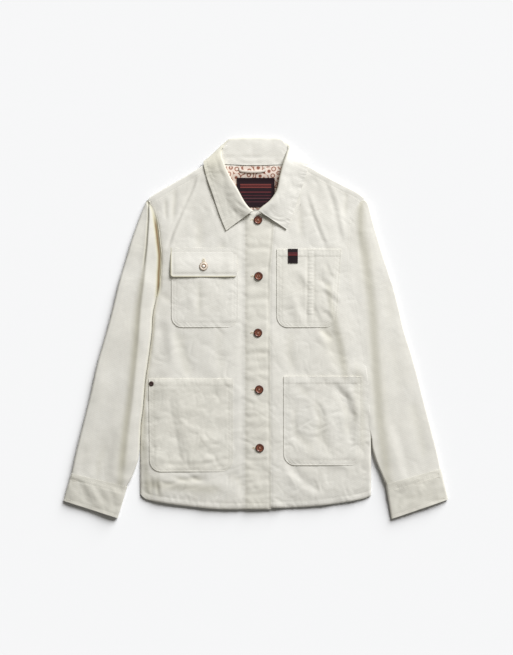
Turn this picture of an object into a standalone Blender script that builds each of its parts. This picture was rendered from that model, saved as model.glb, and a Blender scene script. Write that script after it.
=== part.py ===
"""Cotton drill chore jacket, buttoned up and laid flat on its back.

Right and left are the wearer's, so the right front is on the -X side, and it laps
over the left one. Lengths are in millimetres until a piece is built: x across from
the middle of the back, y up from the lowest point of the hem, z up from the surface
that the jacket lies on. The origin is the middle of the laid outline, at that surface.
"""
import math
from collections import namedtuple

import bmesh
import bpy
from mathutils import Vector

MM = 0.001
LAY_CENTRE = Vector((0.0, 316.5, 0.0))
RIGHT, LEFT = -1, 1                 # which way a side lies along X
SIDE_NAMES = {RIGHT: "right", LEFT: "left"}

# Walls, in mm
DRILL = 1.5                         # heavy cotton drill, one layer
POCKET_DRILL = 1.4                  # a patch pocket, pressed flat
DOUBLE_DRILL = 2.0                  # collar and cuffs, two layers and interlining
LINING = 1.0                        # printed cotton and woven labels
SEAM = 0.3                          # gap between sewn pieces
REST = 0.5                          # gap under a piece that only lies on another
SIDE_GAP = 0.7                      # gap between a sleeve and the body beside it
JOIN = 0.001                        # places this close are one place

# Heights of the laid cloth, in mm
FRONT_TOP = 5.8                     # outer side of the fronts
UNDERLAP_DROP = 1.8                 # how much lower the left front's edge lies, under the right one
BAND_RISE = 0.3                     # how much the right front rises over it
ROLL = 5.0                          # depth of the soft fold along a side or a shoulder
FLOOR_LIFT = 0.45                   # rim of the front above the surface at the side
LOWEST_FRONT = 3.7                  # a trough of a front stops here, clear of the back
SHOULDER_TOP = 5.8
SEAM_DROP = 11.0                    # shoulder seam below the shoulder fold, on the front
NECK_RISE = 2.6                     # back of the neck, lifted by the collar under it
SLEEVE_TOP = 6.6
CUFF_TOP = 8.0
CUFF_EASE = 0.8                     # how far a cuff stands out past its sleeve
CUFF_GAP = 0.8                      # between the end of a sleeve and its cuff

# Outline of the body: distance out from the middle, at a height above the hem
Edge = namedtuple("Edge", "height right left")
SIDE_SEAM = (Edge(20, 202, 202), Edge(96, 202, 202), Edge(144, 201, 201), Edge(178, 197, 199),
             Edge(226, 193, 196), Edge(261, 188, 191), Edge(308, 182, 184), Edge(340, 180, 179),
             Edge(373, 173, 172), Edge(406, 166, 168), Edge(440, 164, 166), Edge(462, 166, 167),
             Edge(502, 171, 170), Edge(525, 177, 177), Edge(542, 189, 190))
ARMPIT = 373.0

# Heights of edges that run across, at a distance out from the middle
Across = namedtuple("Across", "out right left")
HEM = (Across(-27, 0, 1), Across(10, 0, 2), Across(61, 0, 3), Across(108, 4, 6),
       Across(155, 10, 12), Across(190, 17, 19), Across(202, 26, 24))
SHOULDER_FOLD = (Across(81, 608, 606), Across(89, 603, 602), Across(108, 591, 591),
                 Across(130, 578, 579), Across(153, 565, 567), Across(175, 552, 556),
                 Across(190, 542, 545))
NECKLINE = (Across(-39, 499.5, 500), Across(-20, 508.5, 509), Across(-4, 514, 514),
            Across(9, 516.5, 516.5), Across(22, 520.5, 520.5), Across(41, 530, 530),
            Across(57.5, 544.5, 544.5), Across(71, 565, 565), Across(77, 586, 586))
BACK_NECK = (Across(0, 600.2, 600.2), Across(50, 601.7, 601.7), Across(66, 603.6, 603.6),
             Across(78, 602.5, 602.5))
STRAP = 81.0                        # neck end of the shoulder seam

# Lines down each front, as distances out from the middle at a height
Guide = namedtuple("Guide", "height opening band pocket_in strap pocket_out")
GUIDES = {
    RIGHT: (Guide(0, -27, 17, 40, 113, 185), Guide(66, -27, 17, 40, 113, 185),
            Guide(228, -27, 18, 40, 113, 187), Guide(318, -27, 19, 30, 88, 147),
            Guide(406, -25, 19, 30, 88, 147), Guide(456, -29, 20, 30, 88, 147),
            Guide(600, -39, 9, 22, 81, 146)),
    LEFT: (Guide(0, -16, 27, 49, 117, 185), Guide(77, -16, 27, 49, 117, 185),
           Guide(232, -16, 27, 49, 117, 185), Guide(318, -16, 27, 37, 89, 140),
           Guide(406, -16, 27, 37, 91, 147), Guide(454, -16, 25, 37, 92, 150),
           Guide(600, -16, 9, 22, 81, 148)),
}
PocketLevels = namedtuple("PocketLevels", "lower_bottom lower_top chest_bottom chest_top")
POCKETS = {RIGHT: PocketLevels(66, 228, 318, 456), LEFT: PocketLevels(77, 232, 318, 454)}
POCKET_CORNER = 20.0
FLAP_DEPTH = 50.0

# Large folds of the fronts: a soft trough (-) or ridge (+) along a line
Fold = namedtuple("Fold", "height width line")
FRONT_FOLDS = {
    RIGHT: (Fold(-2.2, 11, ((-106, 571), (-123, 529), (-142, 485), (-150, 466))),
            Fold(-1.5, 10, ((-141, 553), (-145, 510))),
            Fold(-1.9, 16, ((-139, 308), (-125, 277), (-118, 234))),
            Fold(-1.2, 14, ((-146, 191), (-136, 137), (-131, 90))),
            Fold(1.6, 13, ((-168, 350), (-174, 300), (-180, 250))),
            Fold(-1.2, 16, ((-100, 505), (-99, 470))),
            Fold(-1.0, 16, ((-140, 58), (-92, 52)))),
    LEFT: (Fold(-1.3, 11, ((74, 541), (79, 490))),
           Fold(-2.2, 11, ((126, 565), (138, 539), (146, 502), (150, 472))),
           Fold(-2.1, 16, ((165, 312), (152, 270), (158, 240))),
           Fold(-1.4, 12, ((152, 215), (166, 191), (175, 154), (173, 120))),
           Fold(-1.2, 13, ((52, 82), (62, 60), (81, 40), (106, 30))),
           Fold(1.6, 12, ((174, 330), (178, 280), (182, 240))),
           Fold(-1.0, 14, ((98, 366), (104, 330)))),
}

# Sleeves: outer end of each section across, and the height of its inner end. The first
# sections run to the armhole seam, where the tube is open, and the rest close into a tube.
Station = namedtuple("Station", "outer_x outer_y inner_y")
SLEEVES = {
    RIGHT: (Station(192.4, 535.5, 530), Station(196, 527, 519), Station(201, 515, 505),
            Station(209, 493, 480), Station(217, 470, 455), Station(225, 443, 428),
            Station(233, 417, 402), Station(237, 403, 387), Station(241, 389, 373),
            Station(249, 355, 337), Station(260, 313, 294), Station(277, 254, 232),
            Station(289, 200, 178), Station(303, 144, 122), Station(315, 96, 74),
            Station(322, 61.5, 37.5)),
    LEFT: (Station(196, 535.5, 531), Station(199, 527, 519), Station(202, 515, 505),
           Station(208, 493, 480), Station(215.5, 468, 453), Station(223, 443, 428),
           Station(231, 419, 402), Station(236, 403, 387), Station(241, 388, 373),
           Station(249, 357, 338), Station(259.5, 313, 294), Station(275, 262, 240),
           Station(290, 205, 182), Station(302, 158, 134), Station(314, 112, 88),
           Station(323.5, 69, 42)),
}
SLEEVE_FREE = 125.0                 # below this height the sleeve swings clear of the body
Inner = namedtuple("Inner", "height right left")
SLEEVE_INNER = (Inner(0, 240, 243), Inner(40, 225, 229), Inner(56, 216.5, 222), Inner(74, 209.5, 214.5),
                Inner(88, 205.2, 209), Inner(108, 202.9, 203.5), Inner(SLEEVE_FREE, 202.3, 202.3))
CREASES = {
    RIGHT: ((-188, 516), (-192, 462), (-200, 406), (-209, 350), (-211, 313), (-215, 261),
            (-225, 191), (-232, 131), (-238, 60)),
    LEFT: ((184, 520), (183, 485), (189, 465), (194, 429), (203, 359), (206, 322), (207, 284),
           (211, 236), (216, 191), (219, 144), (229, 80)),
}
CREASE_DEPTH = 2.6
CREASE_WIDTH = 5.5
CREASE_REACH = 7.0                  # columns beside the crease
RIDGE_RISE = 1.8
RIDGE_OFFSET = 13.0                 # crest of the ridge, from the crease towards the body
RIDGE_WIDTH = 9.0
UNDER_SHARES = (0.0, 0.35, 0.65, 1.0)       # columns across the underside, between its rolled edges
SLEEVE_FOLDS = {
    RIGHT: (Fold(1.0, 15, ((-208, 470), (-232, 380), (-250, 300))),
            Fold(-1.0, 14, ((-262, 262), (-240, 214))),
            Fold(-0.9, 12, ((-296, 100), (-262, 84)))),
    LEFT: (Fold(1.0, 15, ((206, 470), (230, 390), (246, 310))),
           Fold(-1.0, 14, ((270, 232), (246, 190))),
           Fold(-0.9, 12, ((300, 112), (262, 92)))),
}

# Cuffs: outer and inner corner of the open end
Cuff = namedtuple("Cuff", "outer_x outer_y inner_x inner_y")
CUFFS = {RIGHT: Cuff(335.5, 15, 242, -15.5), LEFT: Cuff(335.5, 17, 238, -17)}

# Collar, outer side: neck seam, roll line and free edge, and how far the fall has turned
# from lying on the front (0) round the side of the neck to lying under the back (180).
# The roll's height is that of the stand beside it.
Collar = namedtuple("Collar", "neck roll edge turn")
COLLAR = (
    Collar((-9, 517.8, 5.2), (-4, 522, 5.5), (-52, 487, 8.3), 0),
    Collar((-22, 521.8, 5.2), (-10, 525.5, 5.6), (-57, 499, 8.3), 0),
    Collar((-40.5, 531.5, 5.3), (-20, 538, 5.8), (-65, 520, 8.4), 0),
    Collar((-56.5, 546, 5.4), (-31, 561, 5.9), (-75, 550, 8.7), 0),
    Collar((-69.5, 566.5, 5.8), (-44, 585, 6.2), (-84.5, 577, 9.6), 0),
    Collar((-75, 588, 6.3), (-55, 606, 6.5), (-89.5, 596, 10.2), 15),
    Collar((-75.8, 599.5, 6.2), (-58, 622, 6.3), (-91, 606.5, 7.4), 60),
    Collar((-75.5, 603, 5.9), (-57.5, 634, 5.9), (-90, 608.5, 4.4), 90),
    Collar((-73, 605, 5.5), (-52, 641.5, 5.5), (-86.5, 607, 1.6), 125),
    Collar((-64, 605, 5.2), (-45, 648, 5.3), (-76, 594.5, 0.3), 168),
    Collar((-46, 602.6, 5.1), (-32, 649.5, 5.4), (-50, 590, 0.2), 180),
    Collar((0, 601.2, 5.1), (0, 650, 5.4), (0, 589, 0.0), 180),
    Collar((46, 602.6, 5.1), (32, 649.5, 5.4), (50, 590, 0.2), 180),
    Collar((64, 605, 5.2), (44, 648, 5.3), (76, 594.5, 0.3), 168),
    Collar((73, 605, 5.5), (51, 641.5, 5.5), (87.5, 607, 1.6), 125),
    Collar((75.5, 603, 5.9), (56.5, 634, 5.9), (91, 608.5, 4.4), 90),
    Collar((75.8, 599.5, 6.2), (52, 622, 6.3), (92, 606.5, 7.4), 60),
    Collar((75, 588, 6.3), (46.5, 604, 6.5), (90.5, 596, 10.2), 15),
    Collar((69.5, 566.5, 5.8), (41, 580, 6.2), (86, 577, 9.6), 0),
    Collar((56.5, 546, 5.3), (36, 557, 5.9), (76.5, 551, 8.8), 0),
    Collar((40.5, 531.5, 5.1), (25, 540, 5.8), (66.5, 521, 8.8), 0),
    Collar((22, 521.8, 5.0), (11, 528.5, 5.5), (59, 501, 8.8), 0),
    Collar((9, 517.8, 5.0), (4, 522, 5.2), (54, 489, 8.8), 0),
)
COLLAR_ROLL = 2.7                   # half of the roll's depth
COLLAR_SECTIONS = 44
COLLAR_CROWN = 0.8                  # how much the fall arches between roll and edge

# Trimmings
BUTTON_RADIUS = 7.5
BUTTON_THICKNESS = 2.8
BUTTON_HOLE_RADIUS = 0.9
BUTTON_HOLE_PITCH = 3.6             # between neighbouring holes
FRONT_BUTTONS = ((4, 505), (5, 407), (4, 308), (6, 209), (7, 107))
FLAP_BUTTON = (-91, 424)
RIVET_AT = (-182, 219)
RIVET_RADIUS = 4.6
LABEL_HALF_WIDTH = 33.0
LABEL_LEVELS = (528, 579)
LINING_LEVELS = (524, 599)
LINING_HALF_WIDTH = 58.0
TAB = (56.5, 73.5, 430, 455)        # left, right, bottom, top
LOOP_LINE = ((-28, 597.5), (-27, 592.5), (-20, 590.5), (-5, 589.8), (10, 590.5), (16, 592.5),
             (17, 597.5))
LOOP_WIDTH = 4.0
LOOP_THICKNESS = 1.2
LOOP_ARCH = 1.6


# ------------------------------------------------------------------ curves and fields
def smooth(start, end, value):
    """0 at start, 1 at end, with a soft run between them."""
    t = min(max((value - start) / (end - start), 0.0), 1.0)
    return t * t * (3 - 2 * t)


def blend(a, b, t):
    return a + (b - a) * t


def curve(knots):
    """A smooth function through (t, value) knots, level past both ends."""
    knots = sorted(knots)
    count = len(knots)

    def slope(k):
        before, after = knots[max(k - 1, 0)], knots[min(k + 1, count - 1)]
        return (after[1] - before[1]) / (after[0] - before[0])

    def value(t):
        if t <= knots[0][0]:
            return knots[0][1]
        if t >= knots[-1][0]:
            return knots[-1][1]
        k = max(i for i in range(count - 1) if knots[i][0] <= t)
        (t0, v0), (t1, v1) = knots[k], knots[k + 1]
        span = t1 - t0
        f = (t - t0) / span
        return ((2 * f ** 3 - 3 * f ** 2 + 1) * v0 + (f ** 3 - 2 * f ** 2 + f) * span * slope(k)
                + (3 * f ** 2 - 2 * f ** 3) * v1 + (f ** 3 - f ** 2) * span * slope(k + 1))
    return value


def column(table, key, name):
    """The curve of one named column of a table."""
    return curve([(getattr(row, key), getattr(row, name)) for row in table])


SIDE = {side: column(SIDE_SEAM, "height", SIDE_NAMES[side]) for side in (RIGHT, LEFT)}
HEM_LINE = {side: column(HEM, "out", SIDE_NAMES[side]) for side in (RIGHT, LEFT)}
FOLD_LINE = {side: column(SHOULDER_FOLD, "out", SIDE_NAMES[side]) for side in (RIGHT, LEFT)}
NECK_LINE = {side: column(NECKLINE, "out", SIDE_NAMES[side]) for side in (RIGHT, LEFT)}
BACK_NECK_LINE = column(BACK_NECK, "out", "right")
SLEEVE_FREE_EDGE = {side: column(SLEEVE_INNER, "height", SIDE_NAMES[side]) for side in (RIGHT, LEFT)}


def line_distance(x, y, line):
    """Distance from a point to a line of points, and how far along it the nearest place is."""
    best, along, done = 1e9, 0.0, 0.0
    for (x0, y0), (x1, y1) in zip(line, line[1:]):
        dx, dy = x1 - x0, y1 - y0
        length = math.hypot(dx, dy)
        t = min(max(((x - x0) * dx + (y - y0) * dy) / length ** 2, 0.0), 1.0)
        away = math.hypot(x - x0 - t * dx, y - y0 - t * dy)
        if away < best:
            best, along = away, done + t * length
        done += length
    return best, along, done


def folds_at(x, y, folds):
    """Sum of the soft troughs and ridges at a place."""
    total = 0.0
    for fold in folds:
        away, _, _ = line_distance(x, y, fold.line)
        total += fold.height * math.exp(-(away / fold.width) ** 2)
    return total


def armhole_valley(side, out, y):
    """The front and the sleeve both dip towards the armhole seam."""
    away = abs(out - SIDE[side](y))
    depth = 1.6 + (0.7 * smooth(385, 410, y) * smooth(500, 470, y) if side == RIGHT else 0.0)
    return -depth * math.exp(-(away / 9.0) ** 2) * smooth(375, 400, y)


def neck_rise(out, y):
    return smooth(570, 588, y) * smooth(124, 102, out)


def front_height(side, x, y):
    """Outer side of a front, away from its rolled side edge."""
    out = x * side
    z = FRONT_TOP + 1.6 * neck_rise(abs(out), y) + armhole_valley(side, out, y)
    if side == RIGHT:
        z += BAND_RISE * smooth(26, 14, out)
    else:
        z -= UNDERLAP_DROP * smooth(60, 42, out)
    calm = smooth(24, 44, out)
    return max(z + calm * folds_at(x, y, FRONT_FOLDS[side]), LOWEST_FRONT - UNDERLAP_DROP * smooth(60, 42, out))


def front_point(side, x, y):
    """A point on the outer side of a front, its side edge rolled down to the surface."""
    top = front_height(side, x, y)
    inwards = SIDE[side](y) - x * side
    if inwards >= ROLL:
        return Vector((x, y, top))
    rim = blend(FLOOR_LIFT, top, smooth(335, 400, y))
    share = max(1 - (1 - inwards / ROLL) ** 2, 0.0)
    return Vector((x, y, rim + (top - rim) * math.sqrt(share)))


def raised(height, x, y, lift):
    """The point of a height field at (x, y), moved out along its normal."""
    step = 1.0
    slope_x = (height(x + step, y) - height(x - step, y)) / (2 * step)
    slope_y = (height(x, y + step) - height(x, y - step)) / (2 * step)
    return Vector((x, y, height(x, y))) + Vector((-slope_x, -slope_y, 1.0)).normalized() * lift


# ------------------------------------------------------------------ building pieces
def material(name, colour, roughness, metallic=0.0):
    finish = bpy.data.materials.new(name)
    finish.use_nodes = True
    shader = finish.node_tree.nodes["Principled BSDF"]
    shader.inputs["Base Color"].default_value = (*colour, 1.0)
    shader.inputs["Roughness"].default_value = roughness
    shader.inputs["Metallic"].default_value = metallic
    return finish


def add_object(name, mesh, finish):
    data = bpy.data.meshes.new(name)
    mesh.to_mesh(data)
    mesh.free()
    piece = bpy.data.objects.new(name, data)
    piece.data.materials.append(finish)
    bpy.context.collection.objects.link(piece)
    return piece


def net_faces(mesh, rows, flip=False):
    """Quads between rows of points. Returns the corners, row by row."""
    grid = [[mesh.verts.new((point - LAY_CENTRE) * MM) for point in row] for row in rows]
    for lower, upper in zip(grid, grid[1:]):
        for k in range(len(lower) - 1):
            corners = (lower[k], lower[k + 1], upper[k + 1], upper[k])
            mesh.faces.new(tuple(reversed(corners)) if flip else corners)
    return grid


def cloth(name, nets, wall, finish, flip=False):
    """Nets of points joined into one sheet, given its wall on the inner side.

    Flip turns the outer side over.
    """
    mesh = bmesh.new()
    for rows in nets if isinstance(nets[0][0], list) else [nets]:
        net_faces(mesh, rows, flip)
    bmesh.ops.remove_doubles(mesh, verts=mesh.verts, dist=JOIN * MM)
    for face in mesh.faces:
        face.smooth = True
    piece = add_object(name, mesh, finish)
    thickness = piece.modifiers.new("wall", "SOLIDIFY")
    thickness.thickness = wall * MM
    thickness.offset = -1.0
    thickness.use_even_offset = True
    thickness.thickness_clamp = 1.0
    thickness.use_thickness_angle_clamp = True
    return piece


def folded_cloth(name, rows, finish, flip=False):
    """Rows of (outer, inner) points made into a sheet or a tube with its wall between them.

    The first and last places of a row are joined where they fall together.
    """
    mesh = bmesh.new()
    inner = mesh.verts.layers.float_vector.new("inner side")
    grid = net_faces(mesh, [[outer for outer, _ in row] for row in rows], flip)
    for corners, row in zip(grid, rows):
        for corner, (_, inside) in zip(corners, row):
            corner[inner] = (inside - LAY_CENTRE) * MM
    bmesh.ops.remove_doubles(mesh, verts=mesh.verts, dist=JOIN * MM)
    twins = {corner: mesh.verts.new(corner[inner]) for corner in list(mesh.verts)}
    rims = [edge.link_loops[0] for edge in mesh.edges if edge.is_boundary]
    outer_faces = list(mesh.faces)
    for loop in rims:
        a, b = loop.vert, loop.link_loop_next.vert
        mesh.faces.new((b, a, twins[a], twins[b]))
    for face in outer_faces:
        mesh.faces.new([twins[corner] for corner in reversed(face.verts)])
    for face in mesh.faces:
        face.smooth = True
    mesh.verts.layers.float_vector.remove(inner)
    return add_object(name, mesh, finish)


def steps(start, end, count):
    """Evenly spaced values after start, up to end."""
    return [blend(start, end, k / count) for k in range(1, count + 1)]


# ------------------------------------------------------------------ fronts
Levels = namedtuple("Levels", "kind value")


def front_rows(side):
    """Heights of a front's rows: hem part, fixed levels, and shares of the way to the top."""
    pocket = POCKETS[side]
    rows = [Levels("hem", t) for t in (0.0, 0.25, 0.6)]
    corner = (9.0, POCKET_CORNER)
    fixed = [pocket.lower_bottom] + [pocket.lower_bottom + c for c in corner]
    fixed += steps(fixed[-1], pocket.lower_top, 6)
    fixed += steps(pocket.lower_top, pocket.chest_bottom, 4)
    fixed += [pocket.chest_bottom + c for c in corner]
    flap_bottom = pocket.chest_top - FLAP_DEPTH
    fixed += steps(fixed[-1], flap_bottom, 3) + steps(flap_bottom, pocket.chest_top, 3)
    rows += [Levels("level", y) for y in fixed]
    rows += [Levels("top", t) for t in steps(0.0, 1.0, 6)]
    return rows


def front_columns():
    """Where a front's columns lie: (guide before, guide after, share low down, share at the top)."""
    columns = [("edge", None, offset, offset) for offset in (0.0, 0.7, 2.4, ROLL)]
    columns += [("pocket_out", "strap", share, share) for share in (0.0, 0.12, 0.28, 0.52, 0.76)]
    low = (0.0, 0.24, 0.48, 0.72, 0.88)
    top = (0.0, 0.09, 0.24, 0.45, 0.72)
    columns += [("strap", "pocket_in", a, b) for a, b in zip(low, top)]
    columns += [("pocket_in", "band", 0.0, 0.0)]
    columns += [("band", "opening", share, share) for share in (0.0, 0.33, 0.67, 1.0)]
    return columns


def front_top(side, out):
    """Upper edge of a front: its shoulder seam, then its neckline."""
    if out >= STRAP - 1.0:
        return FOLD_LINE[side](out) - SEAM_DROP - 2 * SEAM
    return NECK_LINE[side](out)


def front_place(side, row, place, guides):
    """Where a row and a column of a front cross."""
    before, after, low_share, top_share = place
    chest_top = POCKETS[side].chest_top
    out, y = 100.0, 300.0
    for _ in range(12):
        if row.kind == "hem":
            y = blend(HEM_LINE[side](out), POCKETS[side].lower_bottom, row.value)
        elif row.kind == "level":
            y = row.value
        else:
            y = blend(chest_top, front_top(side, out), row.value)
        if before == "edge":
            out = SIDE[side](y) - low_share
            continue
        rise = row.value if row.kind == "top" else 0.0
        share = blend(low_share, top_share, rise)
        height = blend(chest_top, 600.0, rise) if row.kind == "top" else y
        out = blend(guides[before](height), guides[after](height), share)
    return out * side, y


def front_net(side):
    guides = {name: column(GUIDES[side], "height", name) for name in Guide._fields[1:]}
    return [[front_place(side, row, place, guides) for place in front_columns()]
            for row in front_rows(side)]


def build_front(side, finish):
    net = front_net(side)
    rows = [[front_point(side, x, y) for x, y in row] for row in net]
    cloth("front_" + SIDE_NAMES[side], rows, DRILL, finish, flip=side == LEFT)
    return net


# ------------------------------------------------------------------ pockets
def rounded(x, y, left, right, bottom, radius):
    """Draws a point outside a rounded lower corner in to the arc."""
    centre_x = min(max(x, left + radius), right - radius)
    centre_y = bottom + radius
    if y >= centre_y or x == centre_x:
        return x, y
    away = math.hypot(x - centre_x, y - centre_y)
    if away <= radius:
        return x, y
    return (centre_x + (x - centre_x) * radius / away, centre_y + (y - centre_y) * radius / away)


POCKET_COLUMNS = slice(4, 15)


def patch(name, side, net, bottom, top, lift, wall, finish, radius=POCKET_CORNER):
    """A piece sewn on a front: the front's own places, moved out."""
    rows = [row[POCKET_COLUMNS] for row in net if bottom - 0.01 <= row[4][1] <= top + 0.01]
    left = min(min(x for x, _ in rows[0]), min(x for x, _ in rows[1]))
    right = max(x for x, _ in rows[0])
    placed = []
    for row in rows:
        points = [rounded(x, y, left, right, bottom, radius) for x, y in row]
        placed.append([raised(lambda px, py: front_height(side, px, py), x, y, lift + wall)
                       for x, y in points])
    return cloth(name, placed, wall, finish, flip=side == LEFT)


def build_pockets(side, net, finish):
    levels = POCKETS[side]
    hand = SIDE_NAMES[side]
    patch("lower_pocket_" + hand, side, net, levels.lower_bottom, levels.lower_top,
          SEAM, POCKET_DRILL, finish)
    patch("chest_pocket_" + hand, side, net, levels.chest_bottom, levels.chest_top,
          SEAM, POCKET_DRILL, finish)
    if side == RIGHT:
        patch("chest_flap", side, net, levels.chest_top - FLAP_DEPTH, levels.chest_top,
              SEAM + POCKET_DRILL + REST, DRILL, finish, radius=5.0)


# ------------------------------------------------------------------ back
STRAP_SHARE = STRAP / 189           # column that ends at the neck end of the shoulder
BACK_SHARES = (1.0, 0.9, 0.8, 0.64, 0.53, STRAP_SHARE, 0.31, 0.21, 0.1)
BACK_LEVELS = (0, 0.11, 0.22, 0.33, 0.44, 0.55, 0.64, 0.685, 0.74, 0.81, 0.88, 0.93, 0.97, 1)
NECK_ROWS = (552, 564, 576, 588)    # rows of the back and of its lining below the neckline
ROLL_ANGLES = (-45, 0, 45, 90)


def back_under(x, y):
    """Underside of the back: on the surface, and lifted where the collar lies under it."""
    return NECK_RISE * neck_rise(abs(x), y)


def back_top(x, y):
    return back_under(x, y) + DRILL


def back_edge(side, y):
    """Side edge of the back, inside the fronts' rolled edges below the armpit."""
    inset = blend(DRILL + 2 * SIDE_GAP, 2 * SIDE_GAP, smooth(ARMPIT + 15, ARMPIT + 40, y))
    return SIDE[side](y) - inset


def back_place(side, share, row):
    """Where a row and a column of the back cross."""
    out, y = 150.0 * share, 300.0
    plain_rows = len(BACK_LEVELS) - 1 - len(NECK_ROWS)
    for _ in range(12):
        if share >= STRAP_SHARE:
            y = blend(HEM_LINE[side](out), FOLD_LINE[side](out) - ROLL, BACK_LEVELS[row])
        elif row < plain_rows:
            y = blend(HEM_LINE[side](out), NECK_ROWS[0], row / plain_rows)
        else:
            y = (*NECK_ROWS, BACK_NECK_LINE(out))[row - plain_rows]
        out = share * back_edge(side, y)
    return out * side, y


def shoulder_rows(side, starts):
    """The back's cloth from the surface over the shoulder fold to the seam on the front."""
    rows = [[shoulder_point(side, start, math.radians(angle)) for start in starts]
            for angle in ROLL_ANGLES]
    seam = []
    for start in starts:
        out = start.x * side
        for _ in range(8):
            y = FOLD_LINE[side](out) - SEAM_DROP
            out = min(start.x * side, SIDE[side](y) - SIDE_GAP)
        seam.append(Vector((out * side, y, front_height(side, out * side, y))))
    return [starts] + rows + [seam]


def shoulder_point(side, start, angle):
    """A point on the shoulder fold, from under it (-90 degrees) to on top of it (90)."""
    y = start.y + ROLL * math.cos(angle)
    out = min(start.x * side, SIDE[side](y) - SIDE_GAP)
    top = SHOULDER_TOP + 1.6 * neck_rise(out, y)
    z = (top + start.z) / 2 + (top - start.z) / 2 * math.sin(angle)
    return Vector((out * side, y, z))


def build_back(finish):
    columns = [(RIGHT, share) for share in BACK_SHARES] + [(LEFT, 0.0)]
    columns += [(LEFT, share) for share in reversed(BACK_SHARES)]
    rows = []
    for row in range(len(BACK_LEVELS)):
        places = [back_place(side, share, row) for side, share in columns]
        rows.append([Vector((x, y, back_under(x, y))) for x, y in places])
    shoulder = BACK_SHARES.index(STRAP_SHARE) + 1
    nets = [rows, shoulder_rows(RIGHT, rows[-1][:shoulder]), shoulder_rows(LEFT, rows[-1][-shoulder:])]
    cloth("back", nets, DRILL, finish, flip=True)


# ------------------------------------------------------------------ sleeves and cuffs
def sleeve_height(side, x, y):
    """Outer side of a sleeve, away from its rolled edges."""
    away, along, length = line_distance(x, y, CREASES[side])
    fade = smooth(0, 30, along) * smooth(length, length - 25, along)
    outer = x * side - crease_out(side, y)
    ridge = math.exp(-((outer + RIDGE_OFFSET) / RIDGE_WIDTH) ** 2)
    z = SLEEVE_TOP + folds_at(x, y, SLEEVE_FOLDS[side])
    z += fade * (RIDGE_RISE * ridge - CREASE_DEPTH * math.exp(-(away / CREASE_WIDTH) ** 2))
    if y > ARMPIT:
        z += armhole_valley(side, x * side, y)
    return z


def crease_out(side, y):
    """Distance of the long crease from the middle, at a height."""
    return curve([(py, abs(px)) for px, py in CREASES[side]])(y)


def sleeve_inner(side, y):
    """Inner edge of a sleeve: beside the body, and clear of it near the cuff."""
    if y >= SLEEVE_FREE:
        return SIDE[side](y) + SIDE_GAP
    return SLEEVE_FREE_EDGE[side](y)


def sleeve_sections(side):
    """The table's stations, and one more between those of the closed tube."""
    stations = SLEEVES[side]
    tracks = [curve([(k, getattr(row, field)) for k, row in enumerate(stations)])
              for field in Station._fields]
    armpit = [row.inner_y for row in stations].index(ARMPIT)
    places = list(range(armpit)) + [armpit + k / 2 for k in range(2 * (len(stations) - armpit) - 1)]
    return [Station(*(track(k) for track in tracks)) for k in places]


def across(station, inner_x, s):
    """A place on a section, from its outer end (0) to its inner end (1), outwards positive."""
    return blend(station.outer_x, inner_x, s), blend(station.outer_y, station.inner_y, s)


def rolled_share(length):
    """How much of a section its rolled edge takes."""
    return min(2 * ROLL / length, 0.25)


def upper_shares(side, station, inner_x):
    """Columns across the upper side of a sleeve: closer together beside the long crease."""
    length = math.hypot(station.outer_x - inner_x, station.outer_y - station.inner_y)
    edge = rolled_share(length)

    def off_crease(s):
        x, y = across(station, inner_x, s)
        return line_distance(x * side, y, CREASES[side])[0]
    middle = min([k / 60 for k in range(60)], key=off_crease)
    middle = min(max(middle, edge + 0.14), 1 - edge - 0.12)
    reach = min(CREASE_REACH / length, 0.1)
    shares = [edge] + steps(edge, middle - reach, 3) + [middle, middle + reach]
    return shares + steps(middle + reach, 1 - edge, 2)


def tube_section(side, station, inner_x, top_at, shares, closed, wall):
    """One row of a tube: over the top from the inner end to the outer end, and back underneath.

    Closed is 1 where the inner edge is a rolled fold, and 0 where it is open.
    """
    length = math.hypot(station.outer_x - inner_x, station.outer_y - station.inner_y)
    edge = rolled_share(length)
    flat_under = [(blend(edge, 1 - edge, share), 1.0, False) for share in UNDER_SHARES]
    row = []
    for inside in (0.0, wall):
        roll = min(ROLL / 1.5, 0.3 * length) - inside
        bends = [((inside + roll * (1 - math.cos(math.radians(a)))) / length, math.sin(math.radians(a)))
                 for a in (0, 30, 65)]
        ends = [((inside * closed + roll * (1 - math.cos(math.radians(a)))) / length, sine)
                for a, (_, sine) in zip((0, 30, 65), bends)]
        upper = [(1 - s, sine, True) for s, sine in ends] + [(s, 1.0, False) for s in reversed(shares)]
        upper += [(s, sine, False) for s, sine in reversed(bends)]
        under = [(s, sine, False) for s, sine in bends[1:]] + flat_under
        under += [(1 - s, sine, True) for s, sine in reversed(ends)]
        points = []
        for over, places in ((True, upper), (False, under)):
            for s, sine, inner in places:
                out, y = across(station, inner_x, s)
                top = top_at(out * side, y)
                middle = min(top / 2, ROLL / 1.5)
                share = blend(1.0, sine, closed) if inner else sine
                reach = top - inside - middle if over else inside - middle
                points.append(Vector((out * side, y, middle + reach * share)))
        row.append(points)
    return list(zip(*row))


def build_sleeve(side, finish):
    rows = []
    for station in sleeve_sections(side):
        inner_x = sleeve_inner(side, station.inner_y)
        shares = upper_shares(side, station, inner_x)
        closed = smooth(ARMPIT + 26, ARMPIT, station.inner_y)
        rows.append(tube_section(side, station, inner_x, lambda x, y: sleeve_height(side, x, y),
                                 shares, closed, DRILL))
    gap = Vector((0, CUFF_GAP, 0))
    rows[-1] = [(outer + gap, inner + gap) for outer, inner in rows[-1]]
    folded_cloth("sleeve_" + SIDE_NAMES[side], rows, finish, flip=side == LEFT)


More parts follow.
